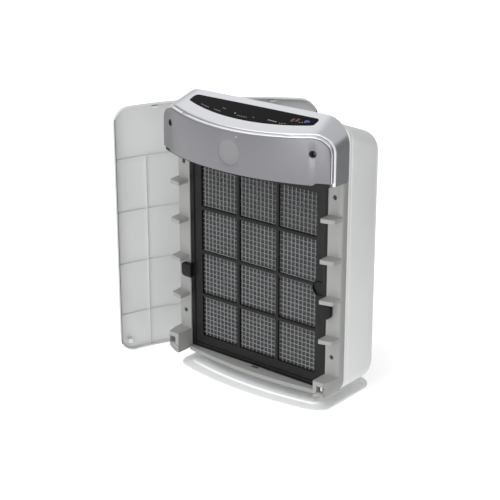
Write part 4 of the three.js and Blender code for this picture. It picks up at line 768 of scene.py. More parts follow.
white_marks, red_marks = [], []
for start, setback, count in ((-110, 43.5, 5), (-73, 45, 4), (-58, 55.5, 2), (-13, 47, 5), (21, 50.5, 1),
                              (82, 42, 3), (116, 47, 3)):
    for i in range(count):
        panel_mark(start + 5 * i, setback, 2.8, 1.3, ink_white, white_marks)
for i in range(4):
    panel_mark(55 + 5.5 * i, 49 - 1.2 * i, 3.0, 2.6, ink_white, white_marks)
panel_mark(-23, 51.5, 3, 3, ink_white, white_marks)
for i in range(2):
    panel_mark(99 + 9 * i, 54, 6, 10, ink_red, red_marks)
blue_marks = []
panel_mark(128, 50, 10, 5, ink_blue, blue_marks)
wear(gather("panel_ink", white_marks), "root")
wear(gather("panel_display", red_marks), "root")
wear(gather("panel_light", blue_marks), "root")

lens_clear = glowing("light guide, clear", "9da0a4", 0.0)
lens = round_bar("indicator", 2, bow(22, 0) + 0.2, -85, 22, 525, "y", lens_clear, 32)
wear(soften(lens, 0.3), "root", "indicator_lens")


# %% [markdown]
# ## Rails, tabs and lugs
#
# A grey rail closes each side of the filter bay. Four flat tabs stand out from it and guide the
# cover's edge, and the lug at its foot has a square socket for the cover's hook. The lug's lower
# corner follows the body's, with two curved steps. The right socket also holds the safety switch
# that stops the fan when the cover is off. Left is the mirror of right without that switch.

# %% The rails
RAIL_INNER, RAIL_FRONT, RAIL_TOP = 168, -3.4, 452.2
RAIL_SCREW_X, RAIL_SCREWS_Z = 182.5, (109, 423.5)
TABS = [144 + 79 * i for i in range(4)]
TAB_SIDE = HALF - 0.8  # short of the body's side, so that the tab meets the rail's round at an angle
SOCKET_X, SOCKET_Z = 185, 56.5


def front_shape(name, inset, low, high, finish):
    """The body's outline from the front, right half, carried in depth."""
    corner = LOW_CORNER - inset
    top = RAIL_TOP if inset == 0 else RAIL_TOP + 1.8
    outline = rounded([(0, UNDERSIDE + inset, 0), (HALF - inset, UNDERSIDE + inset, corner),
                       (HALF - inset, top, 0), (0, top, 0)], 24)
    return prism(name, outline, low, high, "y", finish)


def right_rail(name):
    """The right rail with its tabs and its lug, before the switch is let in."""
    finish = rail_grey
    rail_plan = rounded([(RAIL_INNER, RAIL_FRONT, 1), (HALF, RAIL_FRONT, 7),
                         (HALF, RIDGE_PLACE, 0), (RAIL_INNER, RIDGE_PLACE, 0)], 10)
    rail = prism(name, rail_plan, 28, 456, "z", finish)
    combine(rail, [front_shape("outline", 0, -20, 20, finish)], "INTERSECT")
    combine(rail, [front_shape("pocket", WALL, 4.6, 20, finish)])
    tab = rounded([(171, -2.4, 0), (171, -33, 3), (TAB_SIDE, -26, 5), (TAB_SIDE, 3, 0), (172, 3, 0)], 8)
    tabs = [prism("tab", tab, z, z + 8, "z", finish) for z in TABS]
    lug_plan = rounded([(169, -2.4, 0), (169, -43, 1.5), (193.5, -43, 3), (TAB_SIDE, -22, 4),
                        (TAB_SIDE, 3, 0), (170, 3, 0)], 8)
    lug = prism("lug", lug_plan, 28, 72, "z", finish)
    combine(lug, [front_shape("outline", 0, -60, 20, finish)], "INTERSECT")
    layer = [(169, -50), (200, -50), (204, -22), (204, -6),
             (198.6, -6), (198.6, -21.6), (192.6, -41.6), (169, -41.6)]
    for radius in (26, 18):
        step = round_bar("step", radius, -52, 0, RAIL_INNER, 62, "y", finish, 96)
        combine(step, [round_bar("core", radius - 1.6, -53, 1, RAIL_INNER, 62, "y", finish, 96)])
        combine(step, [prism("layer", layer, 20, 62, "z", finish)], "INTERSECT")
        combine(lug, [step])
    combine(rail, tabs + [lug], "UNION", thorough=True)
    cutters = [block("socket", (SOCKET_X - 7.5, -44, SOCKET_Z - 6.5),
                     (SOCKET_X + 7.5, -29, SOCKET_Z + 6.5), finish)]
    for z in RAIL_SCREWS_Z:
        cutters.append(round_bar("counterbore", 4.5, -6, 1.6, RAIL_SCREW_X, z, "y", finish, 48))
        cutters.append(round_bar("screw hole", 2.3, -6, 8, RAIL_SCREW_X, z, "y", finish, 24))
    return combine(rail, cutters, thorough=True)


left = right_rail("rail_l")
left.data.transform(Matrix.Scale(-1, 4, (1, 0, 0)))
left.data.flip_normals()
wear(soften(left, 0.7, 3), "root", "rail_left")

right = right_rail("rail_r")
combine(right, [block("switch bay", (178.5, -22.3, 51), (191.5, 5.6, 62), rail_grey),
                block("slot", (182.7, -30, 51.7), (187.3, -22, 61.3), rail_grey)], thorough=True)
wear(soften(right, 0.7, 3), "root", "rail_right")


# %% [markdown]
# ## Geometry trees
#
# Whatever repeats is grown by a small geometry tree: one piece is made once and the tree sets out its
# copies. Each tree has named inputs, ends by making the copies real and giving them their finish,
# and the result is kept as plain mesh.

# %% Trees that set out copies
def new_tree(name, **kinds):
    """A geometry tree with a geometry output, its named inputs and its entry node."""
    tree = bpy.data.node_groups.new(name, "GeometryNodeTree")
    tree.interface.new_socket("Geometry", in_out="OUTPUT", socket_type="NodeSocketGeometry")
    tree.interface.new_socket("Geometry", in_out="INPUT", socket_type="NodeSocketGeometry")
    for label, kind in kinds.items():
        tree.interface.new_socket(label.replace("_", " "), in_out="INPUT", socket_type="NodeSocket" + kind)
    return tree, tree.nodes.new("NodeGroupInput")


def finish_tree(tree, entry, instances):
    """Makes the copies real, gives them their finish and closes the tree."""
    real = add_node(tree, "GeometryNodeRealizeInstances", {}, {"Geometry": instances})
    named = add_node(tree, "GeometryNodeSetMaterial", {}, {
        "Geometry": real.outputs["Geometry"], "Material": entry.outputs["Finish"]})
    add_node(tree, "NodeGroupOutput", {}, {"Geometry": named.outputs["Geometry"]})


def grow(name, tree, points=(), **values):
    """Runs a tree over a few points and keeps what it grows as plain mesh."""
    made = build(name, list(points) or [(0, 0, 0)], [], values["Finish"])
    growth = made.modifiers.new("growth", "NODES")
    growth.node_group = tree
    for item in tree.interface.items_tree:
        if item.in_out == "INPUT" and item.name.replace(" ", "_") in values:
            growth[item.identifier] = values[item.name.replace(" ", "_")]
    settle(made)
    made.data.materials.clear()
    made.data.materials.append(values["Finish"])
    return made


at_points, entry = new_tree("copies at points", Piece="Object", Least_turn="Vector", Most_turn="Vector",
                            Seed="Int", Finish="Material")
piece = add_node(at_points, "GeometryNodeObjectInfo", {}, {
    "Object": entry.outputs["Piece"], "As Instance": True})
turn = add_node(at_points, "FunctionNodeRandomValue", {"data_type": "FLOAT_VECTOR"}, {
    "Min": entry.outputs["Least turn"], "Max": entry.outputs["Most turn"], "Seed": entry.outputs["Seed"]})
copies = add_node(at_points, "GeometryNodeInstanceOnPoints", {}, {
    "Points": entry.outputs["Geometry"], "Instance": piece.outputs["Geometry"],
    "Rotation": turn.outputs["Value"]})
finish_tree(at_points, entry, copies.outputs["Instances"])

in_rows, entry = new_tree("copies in rows", Piece="Object", Columns="Int", Rows="Int", Pitch="Vector",
                          Finish="Material")
piece = add_node(in_rows, "GeometryNodeObjectInfo", {}, {
    "Object": entry.outputs["Piece"], "As Instance": True})
split = add_node(in_rows, "ShaderNodeSeparateXYZ", {}, {"Vector": entry.outputs["Pitch"]})
step_x = add_node(in_rows, "ShaderNodeCombineXYZ", {}, {"X": split.outputs["X"]})
step_z = add_node(in_rows, "ShaderNodeCombineXYZ", {}, {"Y": split.outputs["Y"], "Z": split.outputs["Z"]})
row = add_node(in_rows, "GeometryNodeMeshLine", {}, {"Count": entry.outputs["Columns"],
                                                     "Offset": step_x.outputs["Vector"]})
one_row = add_node(in_rows, "GeometryNodeInstanceOnPoints", {}, {
    "Points": row.outputs["Mesh"], "Instance": piece.outputs["Geometry"]})
stack = add_node(in_rows, "GeometryNodeMeshLine", {}, {"Count": entry.outputs["Rows"],
                                                       "Offset": step_z.outputs["Vector"]})
rows = add_node(in_rows, "GeometryNodeInstanceOnPoints", {}, {
    "Points": stack.outputs["Mesh"], "Instance": one_row.outputs["Instances"]})
finish_tree(in_rows, entry, rows.outputs["Instances"])

fan_out, entry = new_tree("copies about an axis", Piece="Object", Count="Int", Step="Vector",
                          Finish="Material")
piece = add_node(fan_out, "GeometryNodeObjectInfo", {}, {
    "Object": entry.outputs["Piece"], "As Instance": True})
hub = add_node(fan_out, "GeometryNodeMeshLine", {}, {"Count": entry.outputs["Count"], "Offset": (0, 0, 0)})
index = add_node(fan_out, "GeometryNodeInputIndex")
swing = add_node(fan_out, "ShaderNodeVectorMath", {"operation": "SCALE"}, {
    "Vector": entry.outputs["Step"], "Scale": index.outputs["Index"]})
turned = add_node(fan_out, "GeometryNodeInstanceOnPoints", {}, {
    "Points": hub.outputs["Mesh"], "Instance": piece.outputs["Geometry"],
    "Rotation": swing.outputs["Vector"]})
finish_tree(fan_out, entry, turned.outputs["Instances"])
print("trees:", ", ".join(tree.name for tree in bpy.data.node_groups))


# %% [markdown]
# ## Pre-filter frame and its net
#
# The pre-filter is a black frame with three columns of four windows, so its bars stiffen the net
# behind them. A block at each side reaches over the rail to hold it in, and a half-round scoop at
# the right takes a fingertip. The window cutters are one block set out in rows.

# %% The frame
WINDOW_HALF, WINDOW_LOW, WINDOW_HIGH, BAR = 140.8, 63.2, 422.3, 7
PITCH_X = (2 * WINDOW_HALF + BAR) / 3
PITCH_Z = (WINDOW_HIGH - WINDOW_LOW + BAR) / 4
FILTER_HALF, FILTER_LOW, FILTER_HIGH = 167.5, 36.5, 449
GRIP_X, GRIP_Z = 147.8, 237.75

corner_block = [(-WINDOW_HALF, WINDOW_LOW, 1.5), (-WINDOW_HALF + PITCH_X - BAR, WINDOW_LOW, 1.5),
                (-WINDOW_HALF + PITCH_X - BAR, WINDOW_LOW + PITCH_Z - BAR, 1.5),
                (-WINDOW_HALF, WINDOW_LOW + PITCH_Z - BAR, 1.5)]
window = prism("window", rounded(corner_block, 3), -4, 12, "y", frame_black)
windows = grow("windows", in_rows, Piece=window, Columns=3, Rows=4, Pitch=(PITCH_X * MM, 0, PITCH_Z * MM),
               Finish=frame_black)
bpy.data.objects.remove(window)
frame_plan = rounded([(-FILTER_HALF, FILTER_LOW, 3), (FILTER_HALF, FILTER_LOW, 3),
                      (FILTER_HALF, FILTER_HIGH, 3), (-FILTER_HALF, FILTER_HIGH, 3)])
prefilter = prism("prefilter", frame_plan, -2, 10, "y", frame_black)
combine(prefilter, [block("sunk", (-158.5, -3, 45.5), (158.5, 1, 440), frame_black), windows])
additions = [round_bar("scoop", 16, 1, 10, GRIP_X, GRIP_Z, "y", frame_black, 96)]
for side in (-1, 1):
    inner, outer = side * 159.5, side * 183.5
    pull = rounded([(inner, 187, 1), (outer, 187, 9), (outer, 214, 2), (inner, 214, 1)], 8)
    additions.append(prism("pull", pull, -14, -3.7, "y", frame_black))
    reach = sorted((inner, side * FILTER_HALF))
    additions.append(block("root", (reach[0], -13.5, 187.2), (reach[1], -1, 213.8), frame_black))
combine(prefilter, additions, "UNION")
combine(prefilter, [round_bar("hollow", 14, -3, 4, GRIP_X, GRIP_Z, "y", frame_black, 96),
                    block("net seat", (-147.1, 6, 56.9), (147.1, 12, 428.6), frame_black)])
wear(soften(prefilter, 0.6, 2), "prefilter", "prefilter_frame")


# %% [markdown]
# The net is a coarse plain weave of flat nylon tape, with the dark media showing through. Every
# strand passes over one neighbour and under the next, and the next strand does the opposite. The
# tree makes one wavy strand and sets out its copies with every other one flipped.

# %% The woven net
NET_PITCH, NET_TAPE, NET_SWELL = 9.3, 4.0, 0.28
NET_PLACE = 7.1

net_tree, entry = new_tree("woven strands", Length="Float", Across="Float", Pitch="Float", Tape="Float",
                           Swell="Float", Finish="Material")
steps_per_pitch = 6.0
strand_count = add_node(net_tree, "ShaderNodeMath", {"operation": "DIVIDE"}, {
    0: entry.outputs["Across"], 1: entry.outputs["Pitch"]})
span_end = add_node(net_tree, "ShaderNodeCombineXYZ", {}, {"X": entry.outputs["Length"]})
line = add_node(net_tree, "GeometryNodeCurvePrimitiveLine", {}, {"End": span_end.outputs["Vector"]})
finest = add_node(net_tree, "ShaderNodeMath", {"operation": "DIVIDE"}, {
    0: entry.outputs["Pitch"], 1: steps_per_pitch})
points = add_node(net_tree, "GeometryNodeResampleCurve", {"mode": "LENGTH"}, {
    "Curve": line.outputs["Curve"], "Length": finest.outputs["Value"]})
spot = add_node(net_tree, "GeometryNodeInputPosition")
spot_parts = add_node(net_tree, "ShaderNodeSeparateXYZ", {}, {"Vector": spot.outputs["Position"]})
phase = add_node(net_tree, "ShaderNodeMath", {"operation": "DIVIDE"}, {
    0: spot_parts.outputs["X"], 1: entry.outputs["Pitch"]})
angle = add_node(net_tree, "ShaderNodeMath", {"operation": "MULTIPLY"}, {
    0: phase.outputs["Value"], 1: math.pi})
wave = add_node(net_tree, "ShaderNodeMath", {"operation": "SINE"}, {0: angle.outputs["Value"]})
height = add_node(net_tree, "ShaderNodeMath", {"operation": "MULTIPLY"}, {
    0: wave.outputs["Value"], 1: entry.outputs["Swell"]})
lift = add_node(net_tree, "ShaderNodeCombineXYZ", {}, {"Z": height.outputs["Value"]})
wavy = add_node(net_tree, "GeometryNodeSetPosition", {}, {
    "Geometry": points.outputs["Curve"], "Offset": lift.outputs["Vector"]})
flat = add_node(net_tree, "GeometryNodeCurvePrimitiveQuadrilateral", {}, {
    "Width": 0.35 * MM, "Height": entry.outputs["Tape"]})
tape = add_node(net_tree, "GeometryNodeCurveToMesh", {}, {
    "Curve": wavy.outputs["Geometry"], "Profile Curve": flat.outputs["Curve"], "Fill Caps": True})
side_step = add_node(net_tree, "ShaderNodeCombineXYZ", {}, {"Y": entry.outputs["Pitch"]})
row = add_node(net_tree, "GeometryNodeMeshLine", {}, {
    "Count": strand_count.outputs["Value"], "Offset": side_step.outputs["Vector"]})
number = add_node(net_tree, "GeometryNodeInputIndex")
odd = add_node(net_tree, "ShaderNodeMath", {"operation": "MODULO"}, {0: number.outputs["Index"], 1: 2.0})
flip = add_node(net_tree, "ShaderNodeMath", {"operation": "MULTIPLY"}, {0: odd.outputs["Value"], 1: math.pi})
flipped = add_node(net_tree, "ShaderNodeCombineXYZ", {}, {"X": flip.outputs["Value"]})
strands = add_node(net_tree, "GeometryNodeInstanceOnPoints", {}, {
    "Points": row.outputs["Mesh"], "Instance": tape.outputs["Mesh"], "Rotation": flipped.outputs["Vector"]})
finish_tree(net_tree, entry, strands.outputs["Instances"])


def tape_nylon(name, colour, roughness):
    """Woven tape: fine ribs along the weave, and a slow change of tone where dust has settled."""
    material = bpy.data.materials.new(name)
    material.use_nodes = True
    tree = material.node_tree
    shader = tree.nodes["Principled BSDF"]
    place = add_node(tree, "ShaderNodeTexCoord").outputs["Object"]
    dust = add_node(tree, "ShaderNodeTexNoise", {}, {"Vector": place, "Scale": 1 / (35 * MM), "Detail": 4.0})
    fibre = add_node(tree, "ShaderNodeTexNoise", {}, {
        "Vector": place, "Scale": 1 / (1.2 * MM), "Detail": 2.0})
    base = linear(colour)
    tone = add_node(tree, "ShaderNodeMix", {"data_type": "RGBA"}, {
        0: dust.outputs["Fac"], 6: [share * 0.8 for share in base[:3]] + [1.0],
        7: [min(share * 1.2, 1.0) for share in base[:3]] + [1.0]})
    bump = add_node(tree, "ShaderNodeBump", {}, {
        "Height": fibre.outputs["Fac"], "Strength": 0.5, "Distance": 0.1 * MM})
    tree.links.new(tone.outputs[2], shader.inputs["Base Color"])
    tree.links.new(bump.outputs["Normal"], shader.inputs["Normal"])
    shader.inputs["Roughness"].default_value = roughness
    shader.inputs["IOR"].default_value = 1.53  # nylon
    return material


net_grey = tape_nylon("nylon tape, grey", "8b8c8c", 0.75)
net_dark = tape_nylon("nylon gauze, dark", "333437", 0.85)
upright = grow("upright strands", net_tree, Length=370 * MM, Across=291 * MM, Pitch=NET_PITCH * MM,
               Tape=NET_TAPE * MM, Swell=NET_SWELL * MM, Finish=net_grey)
upright.data.transform(Matrix.Translation(Vector((-144.5, NET_PLACE, 57.6)) * MM)
                       @ Matrix.Rotation(math.radians(-90), 4, "Y")
                       @ Matrix.Rotation(math.radians(-90), 4, "X"))
level = grow("level strands", net_tree, Length=293 * MM, Across=368 * MM, Pitch=NET_PITCH * MM,
             Tape=NET_TAPE * MM, Swell=-NET_SWELL * MM, Finish=net_grey)
level.data.transform(Matrix.Translation(Vector((-146.5, NET_PLACE, 60.5)) * MM)
                     @ Matrix.Rotation(math.radians(90), 4, "X"))
print("upright", [round(v, 1) for v in (Vector(upright.bound_box[0]) / MM)[:]], "to",
      [round(v, 1) for v in (Vector(upright.bound_box[6]) / MM)[:]])
print("level", [round(v, 1) for v in (Vector(level.bound_box[0]) / MM)[:]], "to",
      [round(v, 1) for v in (Vector(level.bound_box[6]) / MM)[:]])
wear(gather("net", [upright, level]), "prefilter", "prefilter_net")
wear(block("gauze", (-146.6, 7.9, 57.4), (146.6, 8.2, 428.1), net_dark), "prefilter")


# %% [markdown]
# ## Front cover
#
# The cover is a bowed tray of white ABS, seen here from its hollow side. A thin rim stiffens its
# edge, and low ribs divide the skin into fields, so that a thin wall keeps its bow. It is shaped
# flat-on about its own middle, as the mould maker would draw it, then turned to where it stands.

# %% The cover
COVER_HALF, COVER_HIGH, COVER_SAGITTA = 206, 519, 48
COVER_BOW = (COVER_HALF ** 2 + COVER_SAGITTA ** 2) / (2 * COVER_SAGITTA)
COVER_WALL, RIM_DEPTH, COVER_CORNER = 2.6, 9, 33
RIB_WALL, RIB_HEIGHT = 1.8, 3.5
RIB_ROWS = [79 + 111 * i for i in range(4)]
UPRIGHT_X = [-144, -48, 48, 144]
COVER_TURN, COVER_PLACE = 50.5, (-183.1, 95.4)


def cover_y(x, depth):
    """The cover's bow, a depth inside its outer face."""
    return COVER_SAGITTA - COVER_BOW + math.sqrt((COVER_BOW - depth) ** 2 - x * x)


def cover_form(name, inset, near, far, corner_steps=16):
    """The cover's outline, drawn in by an inset, between two depths."""
    flat, reach = COVER_HALF - COVER_CORNER, COVER_CORNER - inset
    turn = [flat + reach * math.sin(math.pi / 2 * i / corner_steps) for i in range(1, corner_steps + 1)]
    turn[-1] -= 0.01
    stations = [-x for x in turn[::-1]] + [-flat + 2 * flat * i / 72 for i in range(73)] + turn
    rings = []
    for x in stations:
        past = max(abs(x) - flat, 0)
        drop = reach - math.sqrt(max(reach ** 2 - past ** 2, 0)) + inset
        rings.append([(x, cover_y(x, near), drop), (x, cover_y(x, near), COVER_HIGH - drop),
                      (x, cover_y(x, far), COVER_HIGH - drop), (x, cover_y(x, far), drop)])
    return loft(name, rings, cover_white)


cover = cover_form("cover", 0, 0, COVER_WALL + RIM_DEPTH)
combine(cover, [cover_form("hollow", COVER_WALL, COVER_WALL, COVER_WALL + RIM_DEPTH + 12)])
soften(cover, 0.8, 3, 50)

# %% [markdown]
# One level rib is made bent to the bow and set out in four rows. One upright is made about the
# bow's own axis and swung to four places, so it always stands square to the skin.

# %% Ribs, hooks and clips
rib_span = [-COVER_HALF + 3 + 2 * (COVER_HALF - 3) * i / 96 for i in range(97)]
RIB_ROOT, RIB_DRAFT = 0.6, 0.3  # how deep a rib stands in the skin, and how its crest narrows
level_rings = [[(x, cover_y(x, COVER_WALL - RIB_ROOT), 0), (x, cover_y(x, COVER_WALL - RIB_ROOT), RIB_WALL),
                (x, cover_y(x, COVER_WALL + RIB_HEIGHT), RIB_WALL - RIB_DRAFT),
                (x, cover_y(x, COVER_WALL + RIB_HEIGHT), RIB_DRAFT)] for x in rib_span]
level_rib = loft("level rib", level_rings, cover_white)
levels = grow("levels", in_rows, Piece=level_rib, Columns=1, Rows=4,
              Pitch=(0, 0, 111 * MM), Finish=cover_white)
levels.data.transform(Matrix.Translation((0, 0, RIB_ROWS[0] * MM)))
reach_in = COVER_BOW - COVER_WALL - RIB_HEIGHT
rib_root = COVER_BOW - COVER_WALL + RIB_ROOT
crest = RIB_WALL / 2 - RIB_DRAFT
upright_plan = [(-RIB_WALL / 2, rib_root), (RIB_WALL / 2, rib_root), (crest, reach_in), (-crest, reach_in)]
upright_rib = prism("upright rib", upright_plan, 1.5, RIB_ROWS[-1] + 1, "z", cover_white)
swing_step = (UPRIGHT_X[1] - UPRIGHT_X[0]) / COVER_BOW
uprights = grow("uprights", fan_out, Piece=upright_rib, Count=4, Step=(0, 0, swing_step), Finish=cover_white)
uprights.data.transform(Matrix.Translation((0, (COVER_SAGITTA - COVER_BOW) * MM, 0))
                        @ Matrix.Rotation(-1.5 * swing_step, 4, "Z"))
for helper in (level_rib, upright_rib):
    bpy.data.objects.remove(helper)

fittings = []
for side in (-1, 1):
    hook_x, clip_x, top = side * SOCKET_X, side * 120, COVER_HIGH - COVER_WALL - 2
    hook_y, clip_y = cover_y(hook_x, COVER_WALL), cover_y(clip_x, COVER_WALL)
    fittings += [block("hook", (hook_x - 4, hook_y - 15, 24), (hook_x + 4, hook_y + 0.5, 28), cover_white),
                 block("hook tip", (hook_x - 4, hook_y - 15, 20), (hook_x + 4, hook_y - 12, 25), cover_white),
                 block("clip", (clip_x - 6, clip_y - 13, top - 3), (clip_x + 6, clip_y + 0.5, top),
                       cover_white)]
cover = gather("cover", [cover, levels, uprights] + fittings)
cover.data.transform(Matrix.Translation((COVER_PLACE[0] * MM, COVER_PLACE[1] * MM, 0))
                     @ Matrix.Rotation(math.radians(COVER_TURN), 4, "Z"))
wear(soften(cover, 0, angle=38), "cover", "front_cover")


# %% [markdown]
# ## Outlet grille
#
# Clean air leaves through a slotted grille let into the sloping top. Its slats are long and narrow,
# leaned back a little so the air is thrown forward over the top, and three cross bars keep them from
# ringing. One slat is set out in rows across the opening.

# %% The grille
grille_plan = rounded([(-140, -25, 3), (140, -25, 3), (140, 25, 3), (-140, 25, 3)])
gap_plan = rounded([(-136.8, -21.8, 2), (136.8, -21.8, 2), (136.8, 21.8, 2), (-136.8, 21.8, 2)])
grille = prism("grille", grille_plan, -2.4, 0, "z", rail_grey)
combine(grille, [prism("gap", gap_plan, -4, 2, "z", rail_grey)])
slat_plan = [(-0.9, -2.35), (0.3, -2.35), (1.5, -0.1), (0.3, -0.1)]
slat = loft("slat", [[(x, y, z) for y, z in slat_plan] for x in (-137.4, 137.4)], rail_grey)
slats = grow("slats", in_rows, Piece=slat, Columns=1, Rows=7, Pitch=(0, 5.45 * MM, 0), Finish=rail_grey)
slats.data.transform(Matrix.Translation((0, -16.4 * MM, 0)))
bar = block("bar", (-1.2, -22.4, -2.35), (1.2, 22.4, -0.3), rail_grey)
bars = grow("bars", in_rows, Piece=bar, Columns=3, Rows=1, Pitch=(68.4 * MM, 0, 0), Finish=rail_grey)
bars.data.transform(Matrix.Translation((-68.4 * MM, 0, 0)))
for helper in (slat, bar):
    bpy.data.objects.remove(helper)
combine(grille, [slats, bars], "UNION")
wear(soften(lay_on_slope(grille), 0.25, 2), "root", "outlet_grille")


# %% [markdown]
# ## Screws
#
# Every screw is the same zinc-plated pan head with a cross recess. One is turned and cut, then set
# at its places and spun by chance about its own axis, since no fitter lines them up. Zinc is a grey
# metal with a faint blue-yellow bloom from its passivation, and driving leaves it a little dull.

# %% The screws
zinc = bpy.data.materials.new("zinc plate, passivated")
zinc.use_nodes = True
tree = zinc.node_tree
shader = tree.nodes["Principled BSDF"]
place = add_node(tree, "ShaderNodeTexCoord").outputs["Object"]
bloom = add_node(tree, "ShaderNodeTexNoise", {}, {"Vector": place, "Scale": 1 / (3 * MM), "Detail": 3.0})
tint = add_node(tree, "ShaderNodeMix", {"data_type": "RGBA"}, {
    0: bloom.outputs["Fac"], 6: linear("4b4e53"), 7: linear("605e57")})
tree.links.new(tint.outputs[2], shader.inputs["Base Color"])
shader.inputs["Metallic"].default_value = 1.0
shader.inputs["Roughness"].default_value = 0.38


def turned(name, profile, finish, sides=32):
    """A body turned about the Y axis from (radius, y) pairs that start and end on the axis."""
    rings = [[(radius * math.cos(2 * math.pi * i / sides), y, radius * math.sin(2 * math.pi * i / sides))
              for i in range(sides)] for radius, y in profile]
    return loft(name, rings, finish)


def pan_screw(name, length):
    """A pan-head screw that faces -Y, its head's back at y = 0."""
    head = [(0.4, -2.2), (2.2, -2.12), (3.3, -1.85), (3.95, -1.3), (4.2, -0.6), (4.2, 0.0), (2.0, 0.0),
            (2.0, length - 0.8), (1.2, length)]
    made = turned(name, head, zinc)
    slots = [block("slot", (-2.3, -3, -0.45), (2.3, -1.0, 0.45), zinc),
             block("slot", (-0.45, -3, -2.3), (0.45, -1.0, 2.3), zinc)]
    return soften(combine(made, slots), 0.08, 2)


def set_screws(name, body, length, places, facing, seed, *nodes):
    """Screws at their places, each spun by chance about its own axis."""
    screw = pan_screw("screw", length)
    if facing > 0:
        screw.data.transform(Matrix.Rotation(math.pi, 4, "Z"))
    made = grow(name, at_points, points=places, Piece=screw, Least_turn=(0, 0, 0),
                Most_turn=(0, 2 * math.pi, 0), Seed=seed, Finish=zinc)
    bpy.data.objects.remove(screw)
    wear(soften(made, 0), body, *nodes)


set_screws("shell_screws", "root", 7, [(x, 123.9, z) for x, z in WELLS], 1, 3,
           "shell_screw_1", "shell_screw_2", "shell_screw_3", "shell_screw_4")
fascia_places = [(x, SEAT - 0.3, SCREW_PLACE_Z) for x in (-SCREW_PLACE_X, SCREW_PLACE_X)]
set_screws("fascia_screws", "root", 11, fascia_places, -1, 5, "fascia_screw_1", "fascia_screw_2")
rail_places = [(x, 1.3, z) for x in (-RAIL_SCREW_X, RAIL_SCREW_X) for z in RAIL_SCREWS_Z]
set_screws("rail_screws", "root", 9, rail_places, -1, 8,
           "rail_screw_left_1", "rail_screw_left_2", "rail_screw_right_1", "rail_screw_right_2")


# %% [markdown]
# ## Inner pieces
#
# The rest is seen only through gaps or when the filters are drawn out. Their shapes in the model are
# right already and want only what a mould or a die leaves: clean flats, rounded edges and a surface.
# One function gives each of them that.

# %% Surfaces of the inner pieces
rubber = plastic("rubber, black", "1b1b1c", 0.75, relief=0.08 * MM, drift=0.12)
foam = plastic("foam, closed cell", "29292b", 0.9, grain=1.6 * MM, relief=0.5 * MM, drift=0.15)
board_green = lacquer("circuit board, solder mask", "1d5537", 0.28, 1.5, 0.5)
paper = tape_nylon("glass-fibre paper, white", "e9e9e3", 0.9)
card = plastic("card, white", "e3e2da", 0.85, grain=1.4 * MM, relief=0.06 * MM, drift=0.03)

pellets = bpy.data.materials.new("activated carbon pellets in gauze")
pellets.use_nodes = True
tree = pellets.node_tree
shader = tree.nodes["Principled BSDF"]
place = add_node(tree, "ShaderNodeTexCoord").outputs["Object"]
beads = add_node(tree, "ShaderNodeTexVoronoi", {"feature": "F1"}, {"Vector": place, "Scale": 1 / (4.2 * MM)})
# Each bead is painted lighter at its middle and darker towards its rim: painted shading of round pellets and
# painted shade in the gaps between them; the bump from the same pattern gives their real relief.
painted_bead_shade = add_node(tree, "ShaderNodeMapRange", {}, {
    "Value": beads.outputs["Distance"], "From Min": 0.1, "From Max": 0.65, "To Min": 1.0, "To Max": 0.0})
tone = add_node(tree, "ShaderNodeMix", {"data_type": "RGBA"}, {
    0: painted_bead_shade.outputs["Result"], 6: linear("0d0d0e"), 7: linear("37383b")})
bump = add_node(tree, "ShaderNodeBump", {}, {
    "Height": painted_bead_shade.outputs["Result"], "Strength": 0.9, "Distance": 1.2 * MM})
tree.links.new(tone.outputs[2], shader.inputs["Base Color"])
tree.links.new(bump.outputs["Normal"], shader.inputs["Normal"])
shader.inputs["Roughness"].default_value = 0.62


def refine(node, finish, width, body="root"):
    """The model's own shape, welded and freed of needless edges, then softened and finished."""
    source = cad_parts[node]
    mesh = source.data.copy()
    mesh.transform(source.matrix_world)
    work = bmesh.new()
    work.from_mesh(mesh)
    bmesh.ops.remove_doubles(work, verts=work.verts, dist=0.01 * MM)
    bmesh.ops.dissolve_limit(work, angle_limit=math.radians(1), verts=work.verts, edges=work.edges)
    work.to_mesh(mesh)
    work.free()
    mesh.materials.clear()
    mesh.materials.append(finish)
    made = bpy.data.objects.new(node + ".finished", mesh)
    bpy.context.scene.collection.objects.link(made)
    wear(soften(made, width, 2, 40), body, node)
    return made


for number in range(1, 5):
    refine(f"foot_pad_{number}", rubber, 0.6)
refine("cord_gland", rubber, 0.5)
bay = refine("filter_bay", rail_grey, 0.6)
# A small patch at the middle of the ledge takes the black: painted shade in the notch there.
bay.data.materials.append(switch_black)
for face in bay.data.polygons:
    x, y, z = face.center / MM
    if abs(x) < 9.2 and -8.2 < y < -2.8 and 32 < z < 35.8:
        face.material_index = 1
refine("inlet_guard", frame_black, 0.3)
refine("filter_gasket", foam, 0.2)
refine("panel_carrier", rail_grey, 0)
refine("display_board", board_green, 0)
refine("power_board", board_green, 0)
refine("air_sensor", switch_black, 0.5)
refine("motor_capacitor", switch_black, 0.8)
refine("interlock_switch", switch_black, 0.4)
refine("interlock_plunger", plunger_white, 0.5, "switch_plunger")
refine("carbon_frame", frame_black, 0.6, "carbon_filter")
refine("carbon_media", pellets, 0, "carbon_filter")
refine("hepa_frame", card, 0.4, "hepa_filter")
refine("hepa_media", paper, 0, "hepa_filter")
refine("fan_housing", fan_black, 0)
refine("fan_motor", zinc, 0.8)
for number in range(1, 4):
    refine(f"motor_screw_{number}", zinc, 0.1)
refine("motor_shaft", zinc, 0.3, "fan_wheel")
refine("blower_wheel", fan_black, 0, "fan_wheel")


# %% [markdown]
# ## Studio
#
# The purifier stands on white paper under soft light. A wide, even sky gives every face some light
# and lets the white plastics stay white; a broad sun-like key from the front left models the
# fascia and the tabs; a softbox at the right draws the highlight on the cap's corner. A black card at
# the right shades that side, as a photographer's flag does; light sees it and the camera doesn't. The
# paper is lit a little past white, so that it falls away behind the object.

